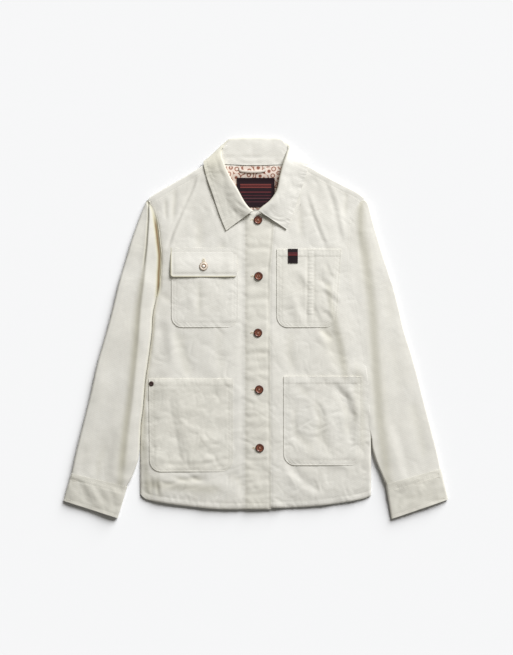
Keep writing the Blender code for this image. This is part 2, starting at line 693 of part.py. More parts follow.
def build_cuff(side, finish):
    last, end = SLEEVES[side][-1], CUFFS[side]
    last_inner = sleeve_inner(side, last.inner_y)
    rows = []
    for t in (0.0, 0.35, 0.7, 1.0):
        station = Station(blend(last.outer_x, end.outer_x, t) + CUFF_EASE,
                          blend(last.outer_y, end.outer_y, t),
                          blend(last.inner_y, end.inner_y, t))
        inner_x = blend(last_inner, end.inner_x, t) - CUFF_EASE
        top = CUFF_TOP - 0.5 * math.sin(math.pi * t)
        rows.append(tube_section(side, station, inner_x, lambda x, y: top,
                                 (0.08, 0.22, 0.36, 0.5, 0.64, 0.78, 0.92), 1.0, DOUBLE_DRILL))
    folded_cloth("cuff_" + SIDE_NAMES[side], rows, finish, flip=side == LEFT)


# ------------------------------------------------------------------ collar
def collar_values(t):
    """Neck, roll, edge and turn at a share of the way round the collar."""
    last = len(COLLAR) - 1

    def track(read):
        return curve([(k / last, read(row)) for k, row in enumerate(COLLAR)])(t)

    points = [Vector([track(lambda row: getattr(row, name)[axis]) for axis in range(3)])
              for name in ("neck", "roll", "edge")]
    return (*points, track(lambda row: row.turn))


def collar_section(t):
    """The collar from the neck seam over the roll to the free edge, as (outer, inner) points."""
    neck, roll, edge, turn = collar_values(t)
    hand = -1 if t < 0.5 else 1
    angle = math.radians(turn)
    apart = Vector((hand * 0.86 * math.sin(angle), 0.5 * math.sin(angle), math.cos(angle)))
    stand_way = ((neck - roll) * Vector((1, 1, 0))).normalized()
    depth = min(COLLAR_ROLL, 0.45 * (neck - roll).length)
    roll = roll + Vector((0, 0, math.cos(angle) * depth))
    below = roll + stand_way * depth - apart * depth
    above = roll + (edge - roll).normalized() * depth + apart * depth
    crown = apart * COLLAR_CROWN * max(math.cos(angle), 0.0)
    knots = [neck, neck.lerp(below, 0.5), below, roll, above, above.lerp(edge, 0.35) + crown,
             above.lerp(edge, 0.7) + crown * 0.6, edge]
    lengths = [0.0]
    for a, b in zip(knots, knots[1:]):
        lengths.append(lengths[-1] + (b - a).length)
    tracks = [curve([(s, knot[axis]) for s, knot in zip(lengths, knots)]) for axis in range(3)]
    samples = []
    for s0, s1, count in zip(lengths, lengths[1:], (1, 1, 2, 2, 1, 1, 1)):
        samples += [s0 + (s1 - s0) * k / count for k in range(count)]
    samples.append(lengths[-1])
    outer = [Vector([track(s) for track in tracks]) for s in samples]
    for point in outer:
        point.z = max(point.z, 0.0)
    across_plane = (-stand_way).cross(apart).normalized()
    points = []
    for k, point in enumerate(outer):
        along = outer[min(k + 1, len(outer) - 1)] - outer[max(k - 1, 0)]
        points.append((point, point + across_plane.cross(along).normalized() * DOUBLE_DRILL))
    return points


def build_collar(finish):
    rows = [collar_section(k / COLLAR_SECTIONS) for k in range(COLLAR_SECTIONS + 1)]
    folded_cloth("collar", rows, finish, flip=True)


# ------------------------------------------------------------------ neck trimmings
def lining_top(x, y):
    return back_under(x, y) + DRILL + SEAM + LINING


def build_neck_lining(finish):
    bottom, top = LINING_LEVELS
    rows = []
    for level in (0.0, 0.5, *NECK_ROWS, top):
        row = []
        for share in range(-5, 6):
            half = LINING_HALF_WIDTH * (0.66 + 0.34 * smooth(bottom, bottom + 50, max(level, bottom)))
            x = half * share / 5
            lowest = max(bottom, NECK_LINE[LEFT](abs(x)) + 3.0)
            y = level if level > 1 else blend(lowest, NECK_ROWS[0], level)
            row.append(raised(back_top, x, y, SEAM + LINING))
        rows.append(row)
    cloth("neck_lining", rows, LINING, finish)


def build_neck_label(finish):
    bottom, top = LABEL_LEVELS
    rows = [[raised(lining_top, LABEL_HALF_WIDTH * s / 3, y, SEAM + LINING) for s in range(-3, 4)]
            for y in [bottom] + steps(bottom, top, 4)]
    cloth("neck_label", rows, LINING, finish)


def build_hanger_loop(finish):
    """A strap held at both ends and arched up between them."""
    lengths = [0.0]
    for (x0, y0), (x1, y1) in zip(LOOP_LINE, LOOP_LINE[1:]):
        lengths.append(lengths[-1] + math.hypot(x1 - x0, y1 - y0))
    track_x = curve([(s, p[0]) for s, p in zip(lengths, LOOP_LINE)])
    track_y = curve([(s, p[1]) for s, p in zip(lengths, LOOP_LINE)])
    rows = []
    count = 16
    for k in range(count + 1):
        s = lengths[-1] * k / count
        ahead, behind = min(s + 0.5, lengths[-1]), max(s - 0.5, 0.0)
        along = Vector((track_x(ahead) - track_x(behind), track_y(ahead) - track_y(behind), 0)).normalized()
        side_way = Vector((-along.y, along.x, 0))
        middle = Vector((track_x(s), track_y(s), 0))
        z = lining_top(middle.x, middle.y) + REST + LOOP_THICKNESS + 0.2
        z += LOOP_ARCH * math.sin(math.pi * k / count)
        rows.append([middle + side_way * LOOP_WIDTH * w + Vector((0, 0, z)) for w in (0.5, 0.0, -0.5)])
    cloth("hanger_loop", rows, LOOP_THICKNESS, finish)


def build_tab(finish):
    left, right, bottom, top = TAB
    lift = SEAM + POCKET_DRILL + SEAM + LINING
    rows = [[raised(lambda px, py: front_height(LEFT, px, py), x, y, lift)
             for x in [right] + steps(right, left, 2)] for y in [bottom] + steps(bottom, top, 3)]
    cloth("pocket_tab", rows, LINING, finish, flip=True)


# ------------------------------------------------------------------ buttons and rivet
def turned(name, profile, x, y, z, finish, steps_round=12):
    """A turned piece: a profile of (radius, height) from its lower middle to its upper middle."""
    mesh = bmesh.new()
    points = [mesh.verts.new((radius * MM, 0, height * MM)) for radius, height in profile]
    edges = [mesh.edges.new(pair) for pair in zip(points, points[1:])]
    bmesh.ops.spin(mesh, geom=points + edges, cent=(0, 0, 0), axis=(0, 0, 1),
                   angle=2 * math.pi, steps=steps_round, use_merge=True)
    bmesh.ops.remove_doubles(mesh, verts=mesh.verts, dist=1e-6)
    bmesh.ops.recalc_face_normals(mesh, faces=mesh.faces)
    for face in mesh.faces:
        face.smooth = True
    piece = add_object(name, mesh, finish)
    piece.location = (Vector((x, y, z)) - LAY_CENTRE) * MM
    return piece


BUTTON_PROFILE = ((0, 0), (5.6, 0), (BUTTON_RADIUS - 0.3, 0.7), (BUTTON_RADIUS, 1.6),
                  (BUTTON_RADIUS - 0.7, 2.6), (BUTTON_RADIUS - 1.5, BUTTON_THICKNESS),
                  (5.0, 2.1), (0, 1.9))


def hole_cutter():
    """Four round pins in a square, as one hidden cutter."""
    mesh = bmesh.new()
    for column_sign in (-1, 1):
        for row_sign in (-1, 1):
            made = bmesh.ops.create_cone(mesh, cap_ends=True, segments=6,
                                         radius1=BUTTON_HOLE_RADIUS * MM, radius2=BUTTON_HOLE_RADIUS * MM,
                                         depth=4 * BUTTON_THICKNESS * MM)
            offset = Vector((column_sign, row_sign, 0)) * BUTTON_HOLE_PITCH / 2 * MM
            bmesh.ops.translate(mesh, verts=made["verts"], vec=offset)
    cutter = add_object("button_hole_cutter", mesh, bpy.data.materials["resin"])
    cutter.hide_render = True
    cutter.display_type = "WIRE"
    return cutter


def build_button(name, x, y, z, finish, cutter):
    button = turned(name, BUTTON_PROFILE, x, y, z, finish)
    holes = button.modifiers.new("holes", "BOOLEAN")
    holes.operation = "DIFFERENCE"
    own_cutter = cutter.copy()
    bpy.context.collection.objects.link(own_cutter)
    own_cutter.location = button.location
    holes.object = own_cutter


def build_buttons(finish):
    cutter = hole_cutter()
    for number, (x, y) in enumerate(FRONT_BUTTONS, start=1):
        z = front_height(RIGHT, x, y) + REST
        build_button("front_button_%d" % number, x, y, z, finish, cutter)
    x, y = FLAP_BUTTON
    around = [front_height(RIGHT, x + dx, y + dy) for dx in (-7, 0, 7) for dy in (-7, 0, 7)]
    z = max(around) + SEAM + POCKET_DRILL + REST + DRILL + REST
    build_button("flap_button", x, y, z, finish, cutter)


def build_rivet(finish):
    x, y = RIVET_AT
    around = [front_height(RIGHT, x + dx, y + dy) for dx in (-4, 0, 4) for dy in (-4, 0, 4)]
    z = max(around) + SEAM + POCKET_DRILL + SEAM
    profile = ((0, 0), (RIVET_RADIUS, 0), (RIVET_RADIUS, 0.5), (3.8, 1.2), (2.4, 1.6), (1.8, 1.1), (0, 1.1))
    turned("pocket_rivet", profile, x, y, z, finish, steps_round=14)


def main():
    for leftover in list(bpy.data.objects):
        bpy.data.objects.remove(leftover)
    drill = material("cotton_drill", (0.80, 0.78, 0.68), 0.9)
    print_cotton = material("printed_cotton", (0.62, 0.47, 0.38), 0.85)
    woven = material("woven_label", (0.02, 0.015, 0.02), 0.7)
    resin = material("resin", (0.18, 0.05, 0.03), 0.35)
    copper = material("copper", (0.35, 0.14, 0.08), 0.4, metallic=1.0)
    for side in (RIGHT, LEFT):
        net = build_front(side, drill)
        build_pockets(side, net, drill)
        build_sleeve(side, drill)
        build_cuff(side, drill)
    build_back(drill)
    build_collar(drill)
    build_neck_lining(print_cotton)
    build_neck_label(woven)
    build_hanger_loop(drill)
    build_tab(woven)
    build_buttons(resin)
    build_rivet(copper)


main()
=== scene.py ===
# %% [markdown]
# # An ecru chore jacket, buttoned up and laid flat on its back
#
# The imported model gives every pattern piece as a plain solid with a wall: two fronts, the
# back, sleeves, cuffs, collar and pockets. Here each one gets the cloth that a tailor would
# see: soft folds, seams that pucker, rows of stitching, a twill face, horn-like buttons and
# a printed lining in the neck. Nothing is moved: each sheet lies on the form of its solid.
#
# Lengths are millimetres as a pattern maker has them: x across from the middle of the back,
# y up from the lowest point of the hem, z up from the table. Right and left are the
# wearer's, so the right front is on the -X side.

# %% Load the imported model
import math
from collections import namedtuple
from functools import partial

import bmesh
import bpy
import numpy as np
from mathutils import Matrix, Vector


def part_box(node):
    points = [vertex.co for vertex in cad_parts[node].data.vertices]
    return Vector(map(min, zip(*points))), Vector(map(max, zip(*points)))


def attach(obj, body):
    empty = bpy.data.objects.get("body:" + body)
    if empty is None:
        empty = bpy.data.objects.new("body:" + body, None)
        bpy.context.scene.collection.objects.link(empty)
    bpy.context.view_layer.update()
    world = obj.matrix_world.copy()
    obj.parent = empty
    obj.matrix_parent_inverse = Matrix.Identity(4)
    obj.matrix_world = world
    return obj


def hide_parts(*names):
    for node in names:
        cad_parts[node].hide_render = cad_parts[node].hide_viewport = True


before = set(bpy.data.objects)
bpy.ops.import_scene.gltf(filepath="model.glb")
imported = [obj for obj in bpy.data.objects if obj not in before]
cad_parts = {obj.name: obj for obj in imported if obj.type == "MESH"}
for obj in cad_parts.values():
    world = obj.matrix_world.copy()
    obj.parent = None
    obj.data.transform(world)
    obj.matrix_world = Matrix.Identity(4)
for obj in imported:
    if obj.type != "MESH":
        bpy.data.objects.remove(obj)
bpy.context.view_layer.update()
MM = 0.001
HEM_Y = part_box("front_right")[0].y / MM          # the hem's lowest point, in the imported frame
RIGHT, LEFT = -1, 1
HAND = {RIGHT: "right", LEFT: "left"}
print("nodes:", len(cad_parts), " hem at y = %.1f mm" % HEM_Y)


# %% [markdown]
# ## Floor, light and camera
#
# A catalogue jacket is shot from straight above on a white table. One broad lamp stands
# beyond the collar and towards +X, low enough to rake across the cloth, so every wrinkle
# shows and every edge that faces the hem or -X throws a soft shade. It is near enough to be
# a little weaker at that far corner. The table is lit by a lamp of its own from the same
# side, so that it stays an even white. A long lens keeps the sleeves from leaning outwards.

# %% Camera straight above
VIEW_WIDTH = 897.8              # mm across the view
VIEW_CENTRE = (1.3, 317.6)
CAMERA_HEIGHT = 3.2
SENSOR = 36.0

camera_data = bpy.data.cameras.new("overhead")
camera_data.sensor_fit = "HORIZONTAL"
camera_data.sensor_width = SENSOR
camera_data.lens = SENSOR * CAMERA_HEIGHT / (VIEW_WIDTH * MM)
camera = bpy.data.objects.new("overhead", camera_data)
camera.location = (VIEW_CENTRE[0] * MM, (VIEW_CENTRE[1] + HEM_Y) * MM, CAMERA_HEIGHT)
bpy.context.scene.collection.objects.link(camera)
bpy.context.scene.camera = camera
bpy.context.scene.view_settings.view_transform = "Standard"
print("lens %.0f mm" % camera_data.lens)


# %% Two lamps and a bright room
def to_linear(hex_colour):
    """An sRGB hex colour as linear red, green, blue and alpha."""
    values = [int(hex_colour[k:k + 2], 16) / 255 for k in (0, 2, 4)]
    return tuple(v / 12.92 if v <= 0.04045 else ((v + 0.055) / 1.055) ** 2.4 for v in values) + (1.0,)


jacket = bpy.data.collections.new("jacket")
bpy.context.scene.collection.children.link(jacket)
table_top = bpy.data.collections.new("table_top")
bpy.context.scene.collection.children.link(table_top)

AZIMUTH = 31                    # degrees, from +Y towards +X
ELEVATION, TABLE_ELEVATION = 31, 25
LAMP_DISTANCE = 4.8
KEY, FILL = 0.79, 0.22          # shares of a white sheet's brightness
BROAD_SHARE, TABLE_SHARE = 0.93, 1.825  # the table's is high, because its paint is grey
BROAD_SIZE = 2.3                # metres across the broad lamp
BROAD_TINT, TABLE_TINT = (0.995, 1.0, 1.02), (0.993, 1.0, 1.02)
ROOM_TINT = (1.0, 0.975, 0.89, 1.0)     # the room's light is a little warmer than the lamps'


def towards(elevation):
    """The way from the jacket to a lamp."""
    turn, rise = math.radians(AZIMUTH), math.radians(elevation)
    return Vector((math.sin(turn) * math.cos(rise), math.cos(turn) * math.cos(rise), math.sin(rise)))


def add_lamp(name, kind, elevation, receivers, **settings):
    """A lamp beyond the collar that lights one collection, and is shaded by everything."""
    data = bpy.data.lights.new(name, kind)
    for setting, value in settings.items():
        setattr(data, setting, value)
    lamp = bpy.data.objects.new(name, data)
    lamp.location = towards(elevation) * LAMP_DISTANCE
    lamp.rotation_euler = (-towards(elevation)).to_track_quat("-Z", "Y").to_euler()
    lamp.light_linking.receiver_collection = receivers
    bpy.context.scene.collection.objects.link(lamp)


def straight_on(elevation):
    """Strength that gives a level sheet its share of light from a lamp at this elevation."""
    return KEY * math.pi / math.sin(math.radians(elevation))


add_lamp("broad_lamp", "AREA", ELEVATION, jacket, shape="DISK", size=BROAD_SIZE, color=BROAD_TINT,
         energy=BROAD_SHARE * straight_on(ELEVATION) * math.pi * LAMP_DISTANCE ** 2)
add_lamp("table_lamp", "SUN", TABLE_ELEVATION, table_top, angle=math.radians(40), color=TABLE_TINT,
         energy=TABLE_SHARE * straight_on(TABLE_ELEVATION))

room = bpy.data.worlds.new("bright_room")
bpy.context.scene.world = room
room.use_nodes = True
room.node_tree.nodes["Background"].inputs["Color"].default_value = ROOM_TINT
room.node_tree.nodes["Background"].inputs["Strength"].default_value = FILL


# %% Small helpers for node materials
def add_node(material, kind, settings=(), links=()):
    """Adds a node, gives it its settings, and links outputs into it: (input, output) pairs."""
    node = material.node_tree.nodes.new(kind)
    for name, value in dict(settings).items():
        if name in node.inputs:
            node.inputs[name].default_value = value
        else:
            setattr(node, name, value)
    for name, output in links:
        material.node_tree.links.new(output, node.inputs[name])
    return node


def new_material(name, colour, roughness, **settings):
    """A Principled material, and its shader node."""
    material = bpy.data.materials.new(name)
    material.use_nodes = True
    shader = material.node_tree.nodes["Principled BSDF"]
    shader.inputs["Base Color"].default_value = to_linear(colour)
    shader.inputs["Roughness"].default_value = roughness
    for socket, value in settings.items():
        shader.inputs[socket.replace("_", " ")].default_value = value
    return material, shader


def join(material, output, target):
    material.node_tree.links.new(output, target)


# %% The white table
TABLE_HALF, TABLE_DROP = 4.0, 0.0004    # metres; it lies a hair below the cloth, so that no faces meet

table_paint, _ = new_material("matte_pale_table", "c4c4c4", 0.9)
table_mesh = bmesh.new()
bmesh.ops.create_grid(table_mesh, x_segments=1, y_segments=1, size=TABLE_HALF)
bmesh.ops.translate(table_mesh, verts=table_mesh.verts, vec=(0, 0, -TABLE_DROP))
table_data = bpy.data.meshes.new("white_table")
table_mesh.to_mesh(table_data)
table_mesh.free()
table = bpy.data.objects.new("white_table", table_data)
table_data.materials.append(table_paint)
table_top.objects.link(table)


# %% [markdown]
# ## The pattern
#
# The outline of each cloth piece is a few smooth curves. The side seams, hem, shoulders and
# neck are the ones that the solids were cut by, and the other edges that show are within
# 5 mm of their solids'. A curve is a row of knots with a smooth line through them, read for
# a whole array of points at once.

# %% Curves and soft steps
def smooth(start, end, value):
    """0 at start, 1 at end, with a soft run between them."""
    t = np.clip((value - start) / (end - start), 0.0, 1.0)
    return t * t * (3 - 2 * t)


def curve(knots):
    """A smooth function through (place, value) knots, level past both ends."""
    knots = sorted(knots)
    at = np.array([k[0] for k in knots], float)
    value = np.array([k[1] for k in knots], float)
    before, after = np.maximum(np.arange(len(at)) - 1, 0), np.minimum(np.arange(len(at)) + 1, len(at) - 1)
    slope = (value[after] - value[before]) / (at[after] - at[before])

    def read(place):
        place = np.clip(place, at[0], at[-1])
        k = np.clip(np.searchsorted(at, place, side="right") - 1, 0, len(at) - 2)
        span = at[k + 1] - at[k]
        f = (place - at[k]) / span
        return ((2 * f ** 3 - 3 * f ** 2 + 1) * value[k] + (f ** 3 - 2 * f ** 2 + f) * span * slope[k]
                + (3 * f ** 2 - 2 * f ** 3) * value[k + 1] + (f ** 3 - f ** 2) * span * slope[k + 1])
    return read


def both_sides(table, key):
    """The curves of a table's right and left columns."""
    return {side: curve([(getattr(row, key), getattr(row, HAND[side])) for row in table])
            for side in (RIGHT, LEFT)}


# %% Outline of the body
Edge = namedtuple("Edge", "height right left")
SIDE_SEAM = (Edge(20, 202, 202), Edge(96, 202, 202), Edge(144, 201, 201), Edge(178, 197, 199),
             Edge(226, 193, 196), Edge(261, 188, 191), Edge(308, 182, 184), Edge(340, 180, 179),
             Edge(373, 173, 172), Edge(406, 166, 168), Edge(440, 164, 166), Edge(462, 166, 167),
             Edge(502, 171, 170), Edge(525, 177, 177), Edge(542, 189, 190))
OPENING = (Edge(0, -27, -16), Edge(406, -25, -16), Edge(456, -29, -16), Edge(600, -39, -16))
Across = namedtuple("Across", "out right left")
HEM = (Across(-27, 0, 1), Across(10, 0, 2), Across(61, 0, 3), Across(108, 4, 6),
       Across(155, 10, 12), Across(190, 17, 19), Across(202, 26, 24))
SHOULDER_FOLD = (Across(81, 608, 606), Across(89, 603, 602), Across(108, 591, 591),
                 Across(130, 578, 579), Across(153, 565, 567), Across(175, 552, 556),
                 Across(190, 542, 545))
NECKLINE = (Across(-39, 499.5, 500), Across(-20, 508.5, 509), Across(-4, 514, 514),
            Across(9, 516.5, 516.5), Across(22, 520.5, 520.5), Across(41, 530, 530),
            Across(57.5, 544.5, 544.5), Across(71, 565, 565), Across(77, 586, 586))
BACK_NECK = (Across(0, 600.2, 600.2), Across(50, 601.7, 601.7), Across(66, 603.6, 603.6),
             Across(78, 602.5, 602.5))
STRAP = 81.0                    # neck end of the shoulder
ARMPIT = 373.0

side_edge = both_sides(SIDE_SEAM, "height")
opening_edge = both_sides(OPENING, "height")
hem_edge = both_sides(HEM, "out")
shoulder_fold = both_sides(SHOULDER_FOLD, "out")
neck_edge = both_sides(NECKLINE, "out")
back_neck = both_sides(BACK_NECK, "out")[RIGHT]
print("hem %.0f mm wide, shoulders %.0f mm" % (side_edge[RIGHT](60) + side_edge[LEFT](60),
                                               SHOULDER_FOLD[-1].out * 2))


# %% [markdown]
# ## Folds
#
# Laid cloth isn't noisy, it is creased where the body and the seams pull it. Each crease
# here is a line with a height and a width, and one of four forms. A soft one is a rounded
# trough or ridge. A lap leans over, high on one side of its line and low on the other. A
# rise is a bank up to its far side, and a crest climbs ever steeper and then stays up.
# Between them lies a faint rumple: long waves, finer crumples, and hair creases along the
# lines where a sum of waves is zero.

# %% Creases
Crease = namedtuple("Crease", "kind height width line spread", defaults=(1.0,))
CREASE_RUN = 28.0               # mm in which a long crease fades in and out


def along_line(x, y, line):
    """Distance to a line of points, positive on its +X side as it runs down, and mm along it."""
    best = np.full(np.shape(x), 1e9)
    signed, run, done = np.zeros_like(best), np.zeros_like(best), 0.0
    for (x0, y0), (x1, y1) in zip(line, line[1:]):
        dx, dy = x1 - x0, y1 - y0
        length = math.hypot(dx, dy)
        t = np.clip(((x - x0) * dx + (y - y0) * dy) / length ** 2, 0, 1)
        away = np.hypot(x - x0 - t * dx, y - y0 - t * dy)
        nearer = away < best
        best = np.where(nearer, away, best)
        turn = (dx * (y - y0) - dy * (x - x0)) / length
        signed = np.where(nearer, np.copysign(away, turn), signed)
        run = np.where(nearer, done + t * length, run)
        done += length
    return signed, run, done


def across_crease(x, y, crease):
    """How a crease fades in and out along its line, the distance to it in widths, and the share run."""
    away, run, length = along_line(x, y, crease.line)
    fading = min(CREASE_RUN, 0.35 * length)
    fade = smooth(0, fading, run) * smooth(length, length - fading, run)
    return fade, away / (crease.width * (1 + (crease.spread - 1) * run / length)), run / length


def crease_relief(x, y, creases):
    """Height that a list of creases adds, each fading out at its ends."""
    total = np.zeros(np.shape(x))
    for crease in creases:
        fade, d, share = across_crease(x, y, crease)
        if crease.kind == "soft":
            form = np.exp(-d * d)
        elif crease.kind == "lap":
            form = d * np.exp(0.5 - 0.5 * d * d)
        elif crease.kind == "rise":
            form = smooth(-1, 1, d) * np.exp(-(np.maximum(d, 0) / 5) ** 2)
        else:
            rounded = np.hypot(d, 0.2)
            form = np.exp(-(rounded - d) / 2 - (rounded + d) / 10) * (1 - 0.4 * share)
        total += crease.height * fade * form
    return total


SHADE = {"crest": 0.04, "rise": 0.07, "soft": -0.06, "lap": 0.0}      # painted warm shade per mm of crease


def fold_shade(x, y, creases):
    """How much painted shade a place gets on the steep side of a bank or in a fold, 0 to 0.5."""
    total = np.zeros(np.shape(x))
    for crease in creases:
        fade, d, _ = across_crease(x, y, crease)
        steep = np.exp(-((d + 0.7) / 0.9) ** 2) if crease.kind == "crest" else np.exp(-(d / 0.85) ** 2)
        total += SHADE[crease.kind] * crease.height * fade * steep
    return np.clip(total, 0, 0.5)


def waves(x, y, wavelength, seed, count=16):
    """A random field of about unit height, made from plane waves near one wavelength."""
    draw = np.random.default_rng(seed)
    total = np.zeros(np.shape(x))
    for _ in range(count):
        angle, length = draw.uniform(0, 2 * math.pi), wavelength * draw.uniform(0.7, 1.5)
        phase = draw.uniform(0, 2 * math.pi)
        total += np.sin(2 * math.pi * (x * math.cos(angle) + y * math.sin(angle)) / length + phase)
    return total * math.sqrt(2 / count)


def crumple(x, y, size, seed):
    """Small creases of washed cotton: waves that are bent by longer ones."""
    bent_x = x + 0.3 * size * waves(x, y, 2.3 * size, seed + 1, 8)
    bent_y = y + 0.3 * size * waves(x, y, 2.3 * size, seed + 2, 8)
    field = waves(bent_x, bent_y, size, seed, 10)
    return field - 0.4 * np.abs(field)


def rumple(x, y, swell, fine, seed):
    """Unevenness of laid cloth, in mm: long swells, and fine crumples with a few hair creases."""
    slow = 0.35 * waves(x, y, 95, seed)
    quick = 0.15 * waves(x, y, 36, seed + 1) + 0.09 * crumple(x, y, 21, seed + 4)
    quick = quick + 0.035 * crumple(x, y, 10, seed + 9)
    lines = waves(x, y, 60, seed + 2)
    strength = np.clip(waves(x, y, 80, seed + 3), 0, 1.5)
    hairs = -0.16 * strength * np.exp(-(lines / 0.12) ** 2)
    return swell * slow + fine * (quick + hairs)


def puckers(along, period, seed):
    """Uneven ripples of about unit height along a seam."""
    draw = np.random.default_rng(seed)
    wobble = sum(draw.uniform(0.5, 1.0) * np.sin(2 * math.pi * along / (period * k) + draw.uniform(0, 6))
                 for k in (3.1, 5.7, 8.3))
    return np.sin(2 * math.pi * along / period + 1.2 * wobble) * (0.75 + 0.25 * np.sin(wobble * 1.7))


# %% Creases of the two fronts
FRONT_CREASES = {
    RIGHT: (
        Crease("lap", 1.1, 3.0, ((-98, 590), (-108, 562), (-123, 529), (-142, 485), (-155, 448))),
        Crease("soft", -1.2, 5, ((-140, 566), (-143, 530), (-146, 496))),
        Crease("soft", -1.0, 4, ((-158, 548), (-158, 522), (-156, 500))),
        Crease("soft", -1.1, 9, ((-99, 512), (-99, 478), (-100, 446))),
        Crease("soft", 0.8, 9, ((-122, 552), (-133, 505), (-142, 462))),
        Crease("soft", -1.3, 11, ((-141, 322), (-133, 292), (-124, 262), (-117, 220))),
        Crease("lap", 0.8, 8, ((-160, 340), (-155, 290), (-150, 240))),
        Crease("soft", -1.2, 9, ((-148, 212), (-138, 150), (-134, 110), (-131, 70))),
        Crease("soft", 0.6, 9, ((-120, 196), (-112, 150), (-116, 100))),
        Crease("soft", -1.3, 6, ((-150, 56), (-118, 51), (-80, 57))),
        Crease("soft", -0.8, 7, ((-60, 480), (-57, 430), (-60, 385))),
        Crease("soft", -0.8, 10, ((-62, 328), (-66, 280), (-58, 230))),
        Crease("soft", 0.9, 9, ((-176, 360), (-180, 300), (-186, 240))),
        Crease("soft", -0.7, 7, ((-186, 382), (-160, 372), (-146, 356))),
        Crease("rise", 1.7, 7, ((-196, 190), (-195, 130), (-193, 80), (-188, 8))),
        Crease("soft", -1.1, 4.5, ((-186, 68), (-181, 40), (-184, 12))),
        Crease("rise", 0.9, 8, ((-178, 74), (-172, 44), (-166, 10))),
        Crease("rise", 1.7, 10, ((-205, 44), (-165, 42), (-110, 38), (-50, 34))),
        Crease("soft", -0.5, 3.5, ((-176, 50), (-150, 44), (-138, 46))),
        Crease("soft", -0.5, 3.5, ((-152, 60), (-126, 50), (-110, 50))),
        Crease("soft", -0.7, 3.5, ((-122, 58), (-98, 50), (-84, 54))),
        Crease("soft", -0.8, 3.5, ((-170, 62), (-173, 38), (-168, 14))),
        Crease("soft", -0.7, 7, ((-54, 62), (-30, 52), (-22, 30))),
    ),
    LEFT: (
        Crease("soft", -1.0, 6, ((68, 565), (76, 515), (80, 466))),
        Crease("lap", 0.6, 4, ((88, 562), (102, 515), (113, 488), (130, 446))),
        Crease("lap", 0.6, 4.5, ((120, 586), (131, 556), (138, 539), (146, 502), (154, 462))),
        Crease("soft", -0.8, 5, ((158, 566), (157, 540), (155, 506))),
        Crease("lap", 0.6, 6.5, ((68, 422), (82, 398), (97, 378))),
        Crease("lap", -0.8, 7, ((66, 388), (77, 350), (88, 318))),
        Crease("soft", -1.0, 5, ((96, 362), (106, 340), (115, 320))),
        Crease("lap", 0.5, 4.5, ((110, 388), (126, 378), (140, 368), (150, 352))),
        Crease("soft", -0.7, 5, ((104, 404), (120, 396), (136, 384))),
        Crease("soft", -1.1, 5.5, ((108, 318), (124, 305), (138, 296))),
        Crease("lap", 0.4, 7, ((100, 316), (112, 296), (124, 274))),
        Crease("rise", 1.9, 8, ((124, 408), (131, 360), (139, 322), (148, 286), (155, 245), (158, 215))),
        Crease("soft", -1.3, 14, ((112, 338), (127, 306), (138, 274), (152, 232))),
        Crease("rise", 1.2, 9, ((176, 262), (181, 225), (183, 190), (186, 150), (188, 96))),
        Crease("lap", 1.1, 7, ((146, 230), (164, 197), (174, 160), (173, 105))),
        Crease("soft", -0.8, 7, ((70, 222), (84, 207), (98, 195))),
        Crease("soft", -0.9, 8, ((54, 134), (78, 126), (92, 112), (99, 88))),
        Crease("lap", -0.9, 7, ((46, 96), (60, 66), (78, 46), (120, 20))),
        Crease("soft", -0.7, 8, ((120, 180), (118, 130), (130, 90))),
        Crease("soft", -0.8, 9, ((62, 320), (58, 275), (68, 230))),
    ),
}

# %% [markdown]
# ## Height of the fronts
#
# The two fronts lie on the back and on each other. Their outer side is a height above the
# table: level over most of the chest, rolled down to the table at the side seams, sunk along
# the armholes, raised where the button band is folded double, and rippled where a seam
# holds the cloth shorter than it would like to be.

# %% The sewn features of a front
FRONT_TOP = 6.5                 # outer side of the fronts above the table
SIDE_FALL = {RIGHT: 2.9, LEFT: 0.5}     # how far a front slopes down towards its side seam,
SIDE_REACH = 42.0                       # and within what width
ROLL, SHOULDER_ROLL = 5.0, 3.0  # soft folds along a side and along a shoulder
FLOOR_LIFT = 0.5                # a front's side edge above the table
LOWEST_FRONT, SOFT_STOP = 3.3, 0.25     # where a trough stops, and how softly
DRILL = 1.2                     # wall of the shown cloth
BAND = (-18.0, 27.0)            # stitch line and free edge of the button band
BAND_RISE = 0.8
UNDERLAP = (0.5, 1.1)           # the left front's rise at the band's edge, and just beyond it
UNDERLAP_DROP = 2.2             # how far it sinks under the band, inside that edge
EDGE_LIFT = 0.2                 # the band's free edge above the left front
BAND_TINT = 0.08                # the band is a little more olive
HEM_DEPTH = 9.5
SEAM_DROP = 11.0                # shoulder seam, below the shoulder fold
NECK_RISE, NECK_LIFT = 1.6, 2.6         # how far the collar under it lifts a front, and the back
BandPucker = namedtuple("BandPucker", "height depth width")
BAND_PUCKERS = (BandPucker(487, 0.7, 6), BandPucker(470, 0.5, 5), BandPucker(456, 1.3, 5.5),
                BandPucker(440, 0.6, 5), BandPucker(424, 0.8, 6), BandPucker(392, 0.8, 6),
                BandPucker(367, 1.3, 6), BandPucker(352, 0.7, 5), BandPucker(330, 0.9, 6),
                BandPucker(290, 0.9, 6), BandPucker(272, 1.3, 5), BandPucker(258, 0.7, 5),
                BandPucker(243, 1.3, 5.5), BandPucker(224, 0.8, 5), BandPucker(196, 0.6, 5),
                BandPucker(185, 1.2, 4.5), BandPucker(172, 0.6, 4.5), BandPucker(162, 1.2, 4.5),
                BandPucker(143, 1.3, 5), BandPucker(131, 0.6, 4.5), BandPucker(119, 1.2, 5),
                BandPucker(96, 0.7, 4.5), BandPucker(85, 1.2, 4.5), BandPucker(67, 1.1, 4.5),
                BandPucker(56, 0.7, 4.5), BandPucker(47, 1.2, 4.5), BandPucker(35, 0.8, 4.5),
                BandPucker(26, 1.1, 4))


def neck_share(out, y):
    """1 at the neck end of a shoulder, which stands higher on the collar, and 0 elsewhere."""
    return smooth(570, 588, y) * smooth(124, 102, out)


